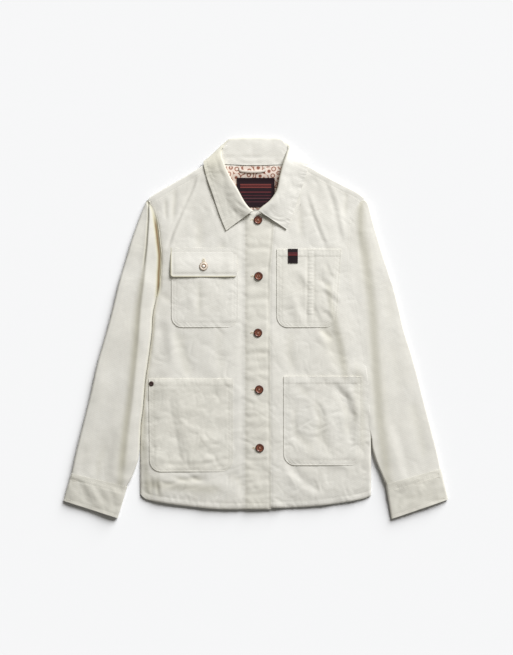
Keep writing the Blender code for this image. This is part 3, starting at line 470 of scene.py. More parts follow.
HOLE_DIP, HOLE_REACH = 0.9, 8.0         # soft valley along the right armhole seam
SEAM_DIP, SEAM_REACH = 3.9, 3.4         # and the seam itself, pulled in
SEAM_SHIFT, SHADE_SHIFT = 3.2, 4.6       # how far out on the sleeve the valley and its painted shade lie
SIDE_DIP, DIP_REACH = 2.5, 4.0          # the right front sinks beside the sleeve
BESIDE_SHADE, SHADE_REACH = 0.2, 3.0      # painted shade: both are browner there, the sleeve over a narrower strip


def seam_share(side, out, y, shift=SHADE_SHIFT, start=(356, 392)):
    """1 in the right armhole seam, 0 away from it; the left one lies flat and doesn't show."""
    along = smooth(*start, y) * (0.35 * smooth(552, 534, y) + 0.65 * smooth(525, 492, y)) * (side == RIGHT)
    line = side_edge[side](y) + shift * smooth(375, 415, y)
    return along * np.exp(-((out - line) / SEAM_REACH) ** 2)


def armhole_valley(side, out, y):
    """Front and sleeve both sink towards the right armhole seam."""
    if side == LEFT:
        return np.zeros(np.shape(y))
    beside = np.exp(-((out - side_edge[side](y)) / HOLE_REACH) ** 2)
    broad = beside * smooth(368, 398, y) * smooth(552, 534, y)
    return -HOLE_DIP * broad - SEAM_DIP * seam_share(side, out, y, SEAM_SHIFT, (340, 372))


def beside_sleeve(out, y, reach):
    """1 where the right front and the closed part of its sleeve touch, 0 away from there."""
    return np.exp(-((side_edge[RIGHT](y) - out) / reach) ** 2) * smooth(402, 378, y) * smooth(60, 110, y)


def hem_relief(side, out, y):
    """The hem is turned up twice, stitched, twists into slanting ropes, and droops."""
    above = y - hem_edge[side](out)
    ropes = puckers(out + 0.25 * above, 4.6, 11 + side) * np.exp(-((above - 4.5) / 4.5) ** 4)
    pull = puckers(out - 0.5 * above, 13, 17 + side) * np.exp(-((above - 11) / 8) ** 2)
    groove = np.exp(-((above - HEM_DEPTH) / 1.1) ** 2)
    droop = -1.1 * smooth(22, 0, above) - 1.6 * smooth(3.2, -0.5, above) ** 2
    doubled = 0.4 * smooth(HEM_DEPTH + 1, HEM_DEPTH - 1, above)
    return doubled + 0.15 * ropes + 0.15 * pull - 0.35 * groove + droop


def band_edge(y):
    """Free edge of the button band."""
    return -opening_edge[RIGHT](y)


def band_relief(x, y):
    """The button band: folded double, stitched down its -X side, and puckered across."""
    inside = smooth(BAND[0] - 2.5, BAND[0] + 4, x)
    rise = BAND_RISE * smooth(BAND[0] - 5, BAND[0] + 9, x)
    wave = np.zeros(np.shape(x))
    across = (x - BAND[0]) / (BAND[1] - BAND[0])
    draw = np.random.default_rng(5)
    for pucker in BAND_PUCKERS:
        tilt, reach, lean = draw.uniform(-0.16, 0.16), draw.uniform(0.2, 0.8), draw.uniform(-0.6, 0.6)
        sidewise = 1 - reach * np.clip(0.5 + lean * (across - 0.5) - 0.4 * np.cos(2 * math.pi * across), 0, 1)
        d = (y - pucker.height - tilt * x) / pucker.width
        wave -= 0.55 * pucker.depth * sidewise * (np.exp(-d * d) - 0.35 * np.exp(-(d - 1.9) ** 2))
    edge = 0.1 * puckers(y, 9.5, 3) * np.exp(-((x - band_edge(y)) / 5) ** 2)
    edge += 0.14 * puckers(y + 3, 10.5, 4) * np.exp(-((x - BAND[0]) / 5) ** 2)
    groove = 0.28 * np.exp(-((x - BAND[0]) / 2.4) ** 2) + 0.9 * np.exp(-((x - BAND[0] + 5) / 6) ** 2)
    return rise + inside * wave + edge - groove


def crumple_strength(y):
    """The lower half is more crumpled than the chest."""
    return 0.8 + 0.6 * smooth(330, 60, y)


def front_height(side, x, y):
    """Outer side of a front, away from its rolled side edge."""
    out = x * side
    slope = smooth(SIDE_REACH, 0, side_edge[side](y) - out) * smooth(415, 330, y)
    z = FRONT_TOP - SIDE_FALL[side] * slope + NECK_RISE * neck_share(np.abs(out), y)
    z = z + armhole_valley(side, out, y) + crease_relief(x, y, FRONT_CREASES[side])
    z = z + hem_relief(side, out, y) + rumple(x, y, 1.0, crumple_strength(y), 20 + side)
    seam = (shoulder_fold[side](out) - SEAM_DROP - y) / 2.2
    z = z - 0.16 * np.exp(-seam ** 2) * smooth(STRAP, STRAP + 6, out)
    edge = band_edge(y)
    if side == RIGHT:
        z = z + band_relief(x, y) - SIDE_DIP * beside_sleeve(out, y, DIP_REACH)
    else:
        step = UNDERLAP[0] + (UNDERLAP[1] - UNDERLAP[0]) * smooth(edge - 0.5, edge + 4, out)
        z = z + step * np.exp(-(np.maximum(out - edge - 4, 0) / 16) ** 2)
        z = z - UNDERLAP_DROP * smooth(edge - 0.5, edge - 7, out)
    z = LOWEST_FRONT + np.logaddexp(0, (z - LOWEST_FRONT) / SOFT_STOP) * SOFT_STOP
    if side == RIGHT:
        close = smooth(edge - 7, edge, x)               # the free edge lies tight on the left front
        z = z + (front_height(LEFT, x, y) + EDGE_LIFT - z) * close
    return z


# %% [markdown]
# ## From a flat grid to a laid sheet
#
# Every cloth piece starts as Blender's own grid. Its corners are shares across and along
# the piece, and one function per piece says where each share lies. The sheet is turned so
# that its outer side is out, and a Solidify modifier gives it the thickness of the cloth.
# Each corner also keeps a share of painted shade and tint, mostly for how deep it lies in a
# fold or seam, which the cloth's colour uses later.

# %% Making a sheet
def turn_outwards(mesh):
    """Turns all faces over if the highest ones look down."""
    mesh.normal_update()
    top = max(vert.co.z for vert in mesh.verts)
    low = min(vert.co.z for vert in mesh.verts)
    level = low + 0.7 * (top - low)
    facing = sum(face.normal.z * face.calc_area() for face in mesh.faces
                 if face.calc_center_median().z > level)
    if facing < 0:
        bmesh.ops.reverse_faces(mesh, faces=mesh.faces)


def finish_piece(name, mesh, material, replaces=()):
    """Turns a mesh into a piece of the jacket that rides on it and stands for its solids."""
    for face in mesh.faces:
        face.smooth = True
    for edge in mesh.edges:
        edge.smooth = not edge.is_boundary          # a cut edge stays crisp
    data = bpy.data.meshes.new(name)
    mesh.to_mesh(data)
    mesh.free()
    piece = bpy.data.objects.new(name, data)
    data.materials.append(material)
    jacket.objects.link(piece)
    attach(piece, "root")
    if replaces:
        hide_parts(*replaces)
    return piece


def place_grid(columns, rows, place):
    """A grid of quads with its corners where place(across, along) says, in mm."""
    mesh = bmesh.new()
    painted_shade_and_tint = mesh.verts.layers.float.new("painted_shade_and_tint")
    bmesh.ops.create_grid(mesh, x_segments=columns, y_segments=rows, size=0.5)
    shares = np.array([(vert.co.x, vert.co.y) for vert in mesh.verts]) + 0.5
    x, y, z, depth = place(np.rint(shares[:, 0] * columns), np.rint(shares[:, 1] * rows))
    for vert, vx, vy, vz, vd in zip(mesh.verts, x, y, z, depth):
        vert.co = (vx * MM, (vy + HEM_Y) * MM, vz * MM)
        vert[painted_shade_and_tint] = vd
    return mesh


def walled_piece(name, mesh, wall, material, replaces):
    """A sheet with its outer side out and its wall turned inwards."""
    turn_outwards(mesh)
    piece = finish_piece(name, mesh, material, replaces)
    thickness = piece.modifiers.new("wall", "SOLIDIFY")
    thickness.thickness, thickness.offset = wall * MM, -1.0
    area = sum(face.area for face in piece.data.polygons)
    print("%-24s %6d faces, %.4f m2" % (name, len(piece.data.polygons), area))
    return piece


def lay_cloth(name, columns, rows, place, wall, material, replaces=(), closed=False):
    """A sheet of cloth on a grid, or a tube where its first and last columns meet."""
    mesh = place_grid(columns, rows, place)
    if closed:
        bmesh.ops.remove_doubles(mesh, verts=mesh.verts, dist=0.01 * MM)
    return walled_piece(name, mesh, wall, material, replaces)


# %% [markdown]
# ## Cotton drill
#
# Ecru cotton drill is a heavy twill in the colour of raw cotton, woven with a steep
# diagonal rib and washed once, so it is matte with a faint nap. The yarns are near 0.5 mm
# and would not show from this far, so the ribs are drawn 3.2 mm apart, to be seen.
# Shade is painted into the colour as well: folds are made a little more olive and the right
# armhole seam browner, for light that is caught there and bounces between warm cloth.

# %% Cotton drill
RIB, RIB_TURN = 3.2, 63         # mm from rib to rib, and degrees that the ribs are turned
WAVE_RATE = 20                  # radians that the wave node turns in a metre, at a scale of 1
SLUB, CLOUD, NAP = 14.0, 90.0, 2.2      # mm: uneven places in the yarn, patches of shade, nap


def cotton_drill(name, colour="e9e7e0", fold_shade_tint="e2dfcb", seam_shadow_tint="927c5c"):
    material, shader = new_material(name, colour, 0.86, Sheen_Weight=0.12, Sheen_Roughness=0.5,
                                    Specular_IOR_Level=0.25)
    place = add_node(material, "ShaderNodeTexCoord").outputs["Object"]
    turned = add_node(material, "ShaderNodeMapping", {"Rotation": (0, 0, math.radians(RIB_TURN))},
                      [("Vector", place)])
    rib = add_node(material, "ShaderNodeTexWave",
                   {"wave_type": "BANDS", "bands_direction": "X", "Distortion": 1.2, "Detail": 2.0,
                    "Scale": 2 * math.pi / (WAVE_RATE * RIB * MM), "Detail Scale": 2.0},
                   [("Vector", turned.outputs["Vector"])])
    slub = add_node(material, "ShaderNodeTexNoise", {"Scale": 1 / (SLUB * MM), "Detail": 5.0,
                                                     "Roughness": 0.65}, [("Vector", place)])
    patch = add_node(material, "ShaderNodeTexNoise", {"Scale": 1 / (CLOUD * MM), "Detail": 2.0},
                     [("Vector", place)])
    shade = add_node(material, "ShaderNodeMapRange", {"From Min": 0.3, "From Max": 0.7,
                                                      "To Min": 0.955, "To Max": 1.03},
                     [("Value", slub.outputs["Fac"])])
    warm = add_node(material, "ShaderNodeMix", {"data_type": "RGBA"})
    warm.inputs[6].default_value = to_linear(colour)
    warm.inputs[7].default_value = to_linear("e6e3d9")
    join(material, patch.outputs["Fac"], warm.inputs[0])
    # Painted shade: each corner's share darkens the colour from white through olive to brown.
    painted_shade_and_tint = add_node(material, "ShaderNodeAttribute", {"attribute_name": "painted_shade_and_tint"})
    shade_ramp = add_node(material, "ShaderNodeValToRGB", links=[("Fac", painted_shade_and_tint.outputs["Fac"])])
    shade_colours = shade_ramp.color_ramp
    shade_colours.elements[0].color, shade_colours.elements[1].color = to_linear("ffffff"), to_linear(seam_shadow_tint)
    shade_colours.elements.new(0.5).color = to_linear(fold_shade_tint)
    folded = add_node(material, "ShaderNodeVectorMath", {"operation": "MULTIPLY"})
    join(material, warm.outputs[2], folded.inputs[0])
    join(material, shade_ramp.outputs["Color"], folded.inputs[1])
    tinted = add_node(material, "ShaderNodeVectorMath", {"operation": "SCALE"})
    join(material, folded.outputs["Vector"], tinted.inputs[0])
    join(material, shade.outputs["Result"], tinted.inputs["Scale"])
    join(material, tinted.outputs["Vector"], shader.inputs["Base Color"])
    nap = add_node(material, "ShaderNodeTexNoise", {"Scale": 1 / (NAP * MM), "Detail": 3.0},
                   [("Vector", place)])
    face = add_node(material, "ShaderNodeMath", {"operation": "MULTIPLY_ADD"})
    join(material, rib.outputs["Fac"], face.inputs[0])
    face.inputs[1].default_value = 0.5
    join(material, nap.outputs["Fac"], face.inputs[2])
    weave = add_node(material, "ShaderNodeBump", {"Strength": 0.5, "Distance": 0.25 * MM},
                     [("Height", face.outputs["Value"])])
    join(material, weave.outputs["Normal"], shader.inputs["Normal"])
    return material


drill = cotton_drill("ecru_cotton_drill")


# %% [markdown]
# ## The fronts
#
# Each front is one grid: its columns run from the rolled side seam to the opening, closer
# together round the roll, and its rows from the hem to the shoulder seam and neckline.

# %% Two fronts
FRONT_COLUMNS, FRONT_ROWS, EDGE_COLUMNS = 132, 262, 8


def front_top(side, out):
    """Upper edge of a front: shoulder seam, then neckline."""
    shoulder = np.clip((out - STRAP + 4) / 4, 0, 1)
    neck = neck_edge[side](out)
    return neck + (shoulder_fold[side](out) - SEAM_DROP - 0.1 - neck) * shoulder


def side_roll(side, y):
    """Reach of the roll at the side: tight on the left, where the sleeve is pushed against it."""
    return ROLL if side == RIGHT else ROLL - 4.8 * smooth(95, 150, y)


def front_place(side):
    def place(column, row):
        bend = np.minimum(column / EDGE_COLUMNS, 1) * math.pi / 2
        share = np.maximum(column - EDGE_COLUMNS, 0) / (FRONT_COLUMNS - EDGE_COLUMNS)
        out = 150 - 120 * share         # a first guess, brought closer by each pass below
        for _ in range(14):
            low, high = hem_edge[side](out), front_top(side, out)
            y = low + (high - low) * row / FRONT_ROWS
            edge, roll = side_edge[side](y), side_roll(side, y)
            out = edge - roll * (1 - np.cos(bend)) - share * (edge - roll - opening_edge[side](y))
        x = out * side
        top = front_height(side, x, y)
        rim = FLOOR_LIFT + (top - FLOOR_LIFT) * smooth(345, 392, y)
        z = rim + (top - rim) * np.sin(bend)
        # Painted shade in folds, in the right armhole seam and where the right front sinks beside its sleeve;
        # the button band is a little more olive.
        depth = np.maximum(fold_shade(x, y, FRONT_CREASES[side]), seam_share(side, out, y))
        if side == RIGHT:
            depth = np.maximum(depth, BAND_TINT * smooth(BAND[0] - 2, BAND[0] + 1, x))
            depth = np.maximum(depth, beside_sleeve(out, y, DIP_REACH) * BESIDE_SHADE)
        return x, y, z, depth
    return place


fronts = {side: lay_cloth("cloth_front_" + HAND[side], FRONT_COLUMNS, FRONT_ROWS, front_place(side), DRILL,
                          drill, ["front_" + HAND[side]])
          for side in (RIGHT, LEFT)}


# %% [markdown]
# ## The back and the shoulders
#
# The back lies on the table. At each shoulder it rolls over and comes 11 mm down the front
# to a forward seam, and between the shoulders it ends at the neck. One grid does it: extra
# rows carry the shoulders over the fold, and the neck columns of those rows are cut away.

# %% Back with forward shoulders
BACK_ROWS, OVER_ROWS, ROUND_ROWS = 150, 16, 10
SHOULDER_COLUMNS, NECK_COLUMNS = 36, 44
BACK_COLUMNS = 2 * SHOULDER_COLUMNS + NECK_COLUMNS
SHOULDER_OUT = 189.0            # outer end of the shoulders
BACK_INSET = (2.9, 1.4)         # the back's edge, inside the side seam, below and above the armpit
STRAP_SHARE = STRAP / SHOULDER_OUT
SEAM_GAP = 0.3                  # between the side seam and the shoulder cloth that is carried over


def back_columns(column):
    """Which side a column is on, and its share of the way out, 1 at the side seam."""
    from_edge = np.minimum(column, BACK_COLUMNS - column)
    side = np.where(column <= BACK_COLUMNS / 2, RIGHT, LEFT)
    outer = 1 - (1 - STRAP_SHARE) * from_edge / SHOULDER_COLUMNS
    inner = STRAP_SHARE * (1 - (from_edge - SHOULDER_COLUMNS) / (NECK_COLUMNS / 2))
    return side, np.where(from_edge <= SHOULDER_COLUMNS, outer, inner)


def pick_height(side, out, y):
    """Outer side of whichever front is on a point's side."""
    return np.where(side == RIGHT, front_height(RIGHT, -out, y), front_height(LEFT, out, y))


def back_place(column, row):
    """The back on the table, and its shoulder cloth over the fold and down to the forward seam."""
    side, share = back_columns(column)
    along = np.minimum(row / BACK_ROWS, 1)
    over = np.maximum(row - BACK_ROWS, 0)

    def pick(curves, at):
        return np.where(side == RIGHT, curves[RIGHT](at), curves[LEFT](at))
    out = 150 * share                   # a first guess, brought closer by each pass below
    for _ in range(12):
        top = np.where(share >= STRAP_SHARE - 1e-6, pick(shoulder_fold, out) - SHOULDER_ROLL, back_neck(out))
        low = pick(hem_edge, out)
        y = low + (top - low) * along
        inset = BACK_INSET[0] + (BACK_INSET[1] - BACK_INSET[0]) * smooth(388, 413, y)
        out = share * (pick(side_edge, y) - inset)
    rise = NECK_LIFT * neck_share(out, y)
    start_y, start_out = y, out
    angle = -math.pi / 2 + math.pi * np.minimum(over / ROUND_ROWS, 1)
    crown = pick_height(side, out, y)
    fold_y = start_y + SHOULDER_ROLL * np.cos(angle)
    fold_z = (crown + rise) / 2 + (crown - rise) / 2 * np.sin(angle)
    down = np.clip((over - ROUND_ROWS) / (OVER_ROWS - ROUND_ROWS), 0, 1)
    seam_out = start_out
    for _ in range(6):
        seam_y = pick(shoulder_fold, seam_out) - SEAM_DROP
        seam_out = np.minimum(start_out, pick(side_edge, seam_y) - SEAM_GAP)
    y = np.where(over > 0, fold_y + (seam_y - start_y) * down, start_y)
    out = np.where(over > 0, np.minimum(start_out, pick(side_edge, y) - SEAM_GAP), start_out)
    z = np.where(over > 0, fold_z, rise)
    z = np.where(over >= ROUND_ROWS, pick_height(side, out, y), z)
    # The shoulder cloth on the right gets the armhole seam's painted shade.
    return out * side, y, z, np.where(over >= ROUND_ROWS, seam_share(RIGHT, out, y) * (side == RIGHT), 0)


back_mesh = place_grid(BACK_COLUMNS, BACK_ROWS + OVER_ROWS, back_place)
per_row = BACK_COLUMNS + 1
spare = [vert for k, vert in enumerate(back_mesh.verts)
         if k // per_row > BACK_ROWS and SHOULDER_COLUMNS < k % per_row < BACK_COLUMNS - SHOULDER_COLUMNS]
bmesh.ops.delete(back_mesh, geom=spare, context="VERTS")
back = walled_piece("cloth_back", back_mesh, DRILL, drill, ["back"])


# %% [markdown]
# ## Sleeves
#
# A sleeve is a tube pressed nearly flat. Its sections run from the shoulder to the cuff:
# each has an outer end, an inner end and a soft roll at both. Down to the armpit the inner
# side is open where the armhole seam joins it to the body, and below it the tube is closed.
# One long crease runs the whole way, with a ridge beside it.

# %% Sleeve sections
Station = namedtuple("Station", "outer_x outer_y inner_y")
SLEEVES = {
    RIGHT: (Station(189.8, 540.5, 537.5), Station(192.4, 535.5, 530), Station(196, 527, 519),
            Station(201, 515, 505), Station(209, 493, 480), Station(217, 470, 455),
            Station(225, 443, 428), Station(233, 417, 402), Station(237, 403, 387),
            Station(241, 389, 373), Station(249, 355, 337), Station(260, 313, 294),
            Station(277, 254, 232), Station(289, 200, 178), Station(303, 144, 122),
            Station(315, 96, 74), Station(322, 61.5, 37.5)),
    LEFT: (Station(191.6, 540.5, 537.5), Station(196, 535.5, 531), Station(199, 527, 519),
           Station(202, 515, 505), Station(208, 493, 480), Station(215.5, 468, 453),
           Station(223, 443, 428), Station(231, 419, 402), Station(236, 403, 387),
           Station(241, 388, 373), Station(249, 357, 338), Station(259.5, 313, 294),
           Station(275, 262, 240), Station(290, 205, 182), Station(302, 158, 134),
           Station(314, 112, 88), Station(323.5, 69, 42)),
}
SLEEVE_FREE = 125.0             # below this height a sleeve lies free of the body
FREE_INNER = (Edge(0, 240, 243), Edge(40, 225, 229), Edge(56, 216.5, 222), Edge(74, 209.5, 214.5),
              Edge(88, 205.2, 209), Edge(108, 202.9, 203.5), Edge(SLEEVE_FREE, 202.3, 202.3))
free_inner = both_sides(FREE_INNER, "height")
SLEEVE_TOP, SLEEVE_LOW = 6.6, 3.0       # level of a sleeve's upper side, and its deepest trough
SLEEVE_ROLL = {RIGHT: 3.7, LEFT: 2.4}
SIDE_GAP = {RIGHT: 0.4, LEFT: -5.0}     # between the body and a sleeve; the left one lies under it
OUTER_FALL, OUTER_REACH = 0.5, 11.0     # a sleeve's slope down to its outer edge
INNER_FALL, INNER_REACH = {RIGHT: 0.6, LEFT: 0.0}, 12.0     # and to its inner one
BLEND_REACH = 16.0              # the left sleeve runs into the front within this, without a step
UPPER_LEVEL = 2.5               # what lies lower is on the underside, and gets no painted shade
SLEEVE_CREASES = {
    RIGHT: (
        Crease("crest", 3.9, 2.4, ((-183, 570), (-186, 541), (-186, 507), (-189, 462), (-194, 406),
                                   (-201, 350), (-203.5, 313), (-208, 261), (-214.8, 191),
                                   (-223, 131), (-229, 73), (-233, 20)), 3.4),
        Crease("soft", -1.5, 1.8, ((-185, 556), (-187.5, 535), (-188, 507), (-191, 462), (-197, 415))),
        Crease("rise", 1.4, 9, ((-196, 420), (-207, 350), (-212, 280), (-221, 191), (-229, 131), (-234, 60))),
        Crease("soft", 2.1, 30, ((-243, 430), (-252, 355), (-265, 308), (-291, 190), (-310, 115),
                                 (-326, 30))),
        Crease("soft", 0.5, 9, ((-186, 420), (-192, 370), (-196, 320), (-201, 262), (-212, 190),
                                (-219, 130))),
        Crease("soft", 0.7, 14, ((-214, 480), (-232, 390), (-246, 320), (-258, 240))),
        Crease("soft", -0.7, 13, ((-222, 440), (-238, 370), (-252, 300), (-268, 215))),
        Crease("soft", 0.8, 12, ((-262, 270), (-272, 200), (-288, 130))),
        Crease("soft", -0.9, 9, ((-260, 130), (-272, 90), (-282, 42))),
        Crease("lap", 0.8, 8, ((-238, 150), (-252, 100), (-257, 40))),
        Crease("soft", -0.8, 7, ((-300, 120), (-303, 80), (-305, 45))),
        Crease("soft", -0.6, 8, ((-206, 310), (-202, 240), (-208, 160))),
    ),
    LEFT: (
        Crease("rise", 0.7, 4.6, ((187, 566), (184, 537), (183, 513), (182, 485), (186, 450))),
        Crease("rise", 2.3, 11, ((187, 566), (184, 537), (183, 513), (184, 485), (189, 460), (194, 429),
                                  (198, 394), (203, 359), (206, 322), (208, 284), (211, 236), (215, 191),
                                  (218, 144), (225, 96), (233, 20))),
        Crease("soft", -0.5, 8, ((184, 470), (190, 429), (196, 394), (200, 359), (203, 322), (204, 284),
                                 (206, 236), (210, 191), (214, 130))),
        Crease("soft", -0.6, 12, ((226, 410), (236, 330), (244, 270), (258, 190))),
        Crease("soft", 0.8, 13, ((240, 340), (256, 250), (270, 180))),
        Crease("soft", -0.9, 10, ((270, 200), (284, 140), (296, 80))),
        Crease("lap", -0.8, 8, ((234, 160), (248, 105), (264, 48))),
        Crease("soft", -0.7, 8, ((204, 530), (214, 490), (224, 450))),
    ),
}
BEND_COLUMNS, TOP_COLUMNS, UNDER_COLUMNS, SLEEVE_ROWS = 7, 52, 20, 210
TUBE_COLUMNS = 4 * BEND_COLUMNS + TOP_COLUMNS + UNDER_COLUMNS


def tube_section(column, outer_roll, inner_roll):
    """Where a tube's column lies across its section: 0 at the outer end and 1 at the inner end, its
    rise round a roll, and whether it is on the upper side and at the inner end."""
    runs = (BEND_COLUMNS, TOP_COLUMNS, BEND_COLUMNS, BEND_COLUMNS, UNDER_COLUMNS, BEND_COLUMNS)
    ends = np.concatenate([[0], np.cumsum(runs)])
    part = np.clip(np.searchsorted(ends, column, side="right") - 1, 0, 5)
    step = (column - ends[part]) / (ends[part + 1] - ends[part])
    angle = np.where(np.isin(part, (0, 3)), step, 1 - step) * math.pi / 2
    bend = 1 - np.cos(angle)
    level = 1 - inner_roll - outer_roll
    kinds = [part == k for k in range(6)]
    share = np.select(kinds, [1 - inner_roll * bend, 1 - inner_roll - level * step, outer_roll * bend,
                              outer_roll * bend, outer_roll + level * step, 1 - inner_roll * bend])
    rise = np.where(np.isin(part, (1, 4)), 1.0, np.sin(angle))
    return share, rise, part < 3, np.isin(part, (0, 5))


def inner_end(side, y):
    """How far out a sleeve's inner end is: at the side seam, or free of it lower down."""
    gap = SIDE_GAP[side] * smooth(SLEEVE_FREE, SLEEVE_FREE + 25, y)
    return np.where(y >= SLEEVE_FREE, side_edge[side](y) + gap, free_inner[side](y))


def tube_points(side, column, outer_x, outer_y, inner_x, inner_y, top_at, roll, inner_roll, closed=1.0):
    """Points of a flattened tube whose upper side is top_at(x, y, from outer end, from inner end)."""
    length = np.hypot(outer_x - inner_x, outer_y - inner_y)
    roll, inner_roll = np.minimum(roll, 0.3 * length), np.minimum(inner_roll, 0.3 * length)
    share, rise, over, at_inner = tube_section(column, roll / length, inner_roll / length)
    out = outer_x + (inner_x - outer_x) * share
    y = outer_y + (inner_y - outer_y) * share
    top = top_at(out * side, y, share * length, (1 - share) * length)
    middle = np.minimum(top / 2, roll)
    rise = np.where(at_inner, 1 + (rise - 1) * closed, rise)
    z = np.where(over, middle + (top - middle) * rise, middle * (1 - rise))
    return out * side, y, z


def sleeve_height(side, x, y, from_outer, from_inner):
    """Outer side of a sleeve; the left one runs into the front without a step."""
    relief = crease_relief(x, y, SLEEVE_CREASES[side])
    valley = armhole_valley(side, x * side, y)
    slopes = -OUTER_FALL * smooth(OUTER_REACH, 0, from_outer)
    slopes = slopes - INNER_FALL[side] * smooth(INNER_REACH, 0, from_inner) * smooth(384, 350, y)
    fine = 0.35 + 0.5 * smooth(110, 50, y)
    z = SLEEVE_TOP + relief + valley + slopes + rumple(x, y, 0.8, fine, 40 + side)
    z = np.maximum(z, SLEEVE_LOW)
    if side == LEFT:
        level = smooth(BLEND_REACH, 1, from_inner) * smooth(SLEEVE_FREE, SLEEVE_FREE + 25, y)
        tuck = np.clip(0.06 * (from_inner - 2.6), -0.3, 0.1)       # out from under the front's edge
        z = z + (front_height(LEFT, x, y) + tuck - z) * level
    return z


def sleeve_inner_roll(side, y):
    """Reach of the roll at the inner end, tight where the left sleeve is pushed against the body."""
    return SLEEVE_ROLL[side] - 1.9 * smooth(95, 150, y) * (side == LEFT)


def sleeve_place(side):
    stations = SLEEVES[side]
    tracks = {name: curve([(k, getattr(row, name)) for k, row in enumerate(stations)])
              for name in Station._fields}

    def place(column, row):
        at = row / SLEEVE_ROWS * (len(stations) - 1)
        outer_x, outer_y, inner_y = (tracks[name](at) for name in Station._fields)
        inner_x = inner_end(side, inner_y)
        closed = smooth(ARMPIT + 26, ARMPIT, inner_y)
        x, y, z = tube_points(side, column, outer_x, outer_y, inner_x, inner_y,
                              partial(sleeve_height, side), SLEEVE_ROLL[side],
                              sleeve_inner_roll(side, inner_y), closed)
        # Painted shade in folds, in the right armhole seam and beside the body, on the upper side only.
        depth = np.maximum(fold_shade(x, y, SLEEVE_CREASES[side]), seam_share(side, x * side, y))
        if side == RIGHT:
            depth = np.maximum(depth, beside_sleeve(x * side, y, SHADE_REACH) * BESIDE_SHADE)
        return x, y, z, depth * (z > UPPER_LEVEL)
    return place


sleeves = {side: lay_cloth("cloth_sleeve_" + HAND[side], TUBE_COLUMNS, SLEEVE_ROWS, sleeve_place(side), DRILL,
                           drill, ["sleeve_" + HAND[side]], closed=True)
           for side in (RIGHT, LEFT)}


# %% [markdown]
# ## Cuffs
#
# A cuff is a straight band of two layers and interlining, stiffer than the sleeve, so it
# keeps an even height and a crisp edge. It stands out a little past the sleeve's end.

# %% Two cuffs
Cuff = namedtuple("Cuff", "outer_x outer_y inner_x inner_y")
CUFFS = {RIGHT: Cuff(335.5, 15, 242, -15.5), LEFT: Cuff(335.5, 17, 238, -17)}
CUFF_TOP, CUFF_EASE = 8.0, 0.8          # level of its upper side, and how far it is wider than the sleeve
CUFF_ROWS, DOUBLE_DRILL = 34, 2.0       # and the wall of two layers
CUFF_SHADE = 0.09                # painted shade: a cuff is a little more olive all over
CUFF_LAP, CUFF_STEP = -0.03, 0.3        # share of its depth that a cuff laps on the sleeve, step in mm
CUFF_CREASES = (Crease("soft", -0.8, 6, ((318, 58), (300, 32), (290, 2))),
                Crease("lap", 0.7, 6, ((296, 52), (276, 26), (262, -4))),
                Crease("soft", -0.7, 5, ((262, 44), (250, 22), (246, -8))),
                Crease("soft", 0.6, 6, ((330, 50), (318, 28), (316, 12))))


def cuff_corners(side):
    """Outer and inner end of a cuff's seam, then of its free edge, as (out, y)."""
    start, end = SLEEVES[side][-1], CUFFS[side]
    start_inner = float(inner_end(side, np.array(start.inner_y)))
    return ((start.outer_x, start.outer_y), (start_inner, start.inner_y),
            (end.outer_x, end.outer_y), (end.inner_x, end.inner_y))


def cuff_length(side):
    seam, _, edge, _ = cuff_corners(side)
    return math.hypot(edge[0] - seam[0], edge[1] - seam[1])


def cuff_height(side, x, y, from_outer, from_inner, t):
    """Outer side of a cuff at share t from its seam to its end: it is sewn on level with the sleeve."""
    from_seam, from_end = t * cuff_length(side), (1 - t) * cuff_length(side)
    groove = -0.25 * np.exp(-((from_seam - 4.0) / 0.9) ** 2) - 0.3 * np.exp(-((from_seam - 9) / 1.1) ** 2)
    groove = groove - 0.25 * np.exp(-((from_end - 5.0) / 0.9) ** 2)
    across = 0.16 * puckers(x + 0.4 * y, 8.5, 60 + side) * np.exp(-((from_seam - 6) / 6) ** 2)
    slope = -1.2 * smooth(18, 0, from_outer) - 0.6 * smooth(10, 0, from_inner) - 1.9 * smooth(0.05, 1, t)
    crumpled = rumple(x, y, 0.8, 1.1, 64 + side) + crease_relief(x * side, y, CUFF_CREASES)
    own = CUFF_TOP + groove + across + slope + crumpled
    sewn = sleeve_height(side, x, y, from_outer, from_inner) + CUFF_STEP
    return own + (sewn - own) * smooth(12, 1, from_seam)


def cuff_place(side):
    seam_outer, seam_inner, edge_outer, edge_inner = cuff_corners(side)

    def place(column, row):
        t = CUFF_LAP + (1 - CUFF_LAP) * row / CUFF_ROWS
        outer_x = seam_outer[0] + (edge_outer[0] - seam_outer[0]) * t + CUFF_EASE
        outer_y = seam_outer[1] + (edge_outer[1] - seam_outer[1]) * t
        inner_x = seam_inner[0] + (edge_inner[0] - seam_inner[0]) * t - CUFF_EASE
        inner_y = seam_inner[1] + (edge_inner[1] - seam_inner[1]) * t
        x, y, z = tube_points(side, column, outer_x, outer_y, inner_x, inner_y,
                              partial(cuff_height, side, t=t), CUFF_TOP / 2, CUFF_TOP / 2)
        # The whole cuff gets the same painted shade.
        return x, y, z, np.full_like(z, CUFF_SHADE)
    return place


cuffs = {side: lay_cloth("cloth_cuff_" + HAND[side], TUBE_COLUMNS, CUFF_ROWS, cuff_place(side), DOUBLE_DRILL,
                         drill, ["cuff_" + HAND[side]], closed=True)
         for side in (RIGHT, LEFT)}


# %% [markdown]
# ## Collar
#
# The collar stands up from the neck seam, rolls over, and falls to a free edge. In front it
# lies on the chest; round the back of the neck it is folded under, and the inside of the
# stand is what shows. Each row of the table gives three points of one section: the neck
# seam, the roll and the edge, and how far the fall has turned from on top to underneath.

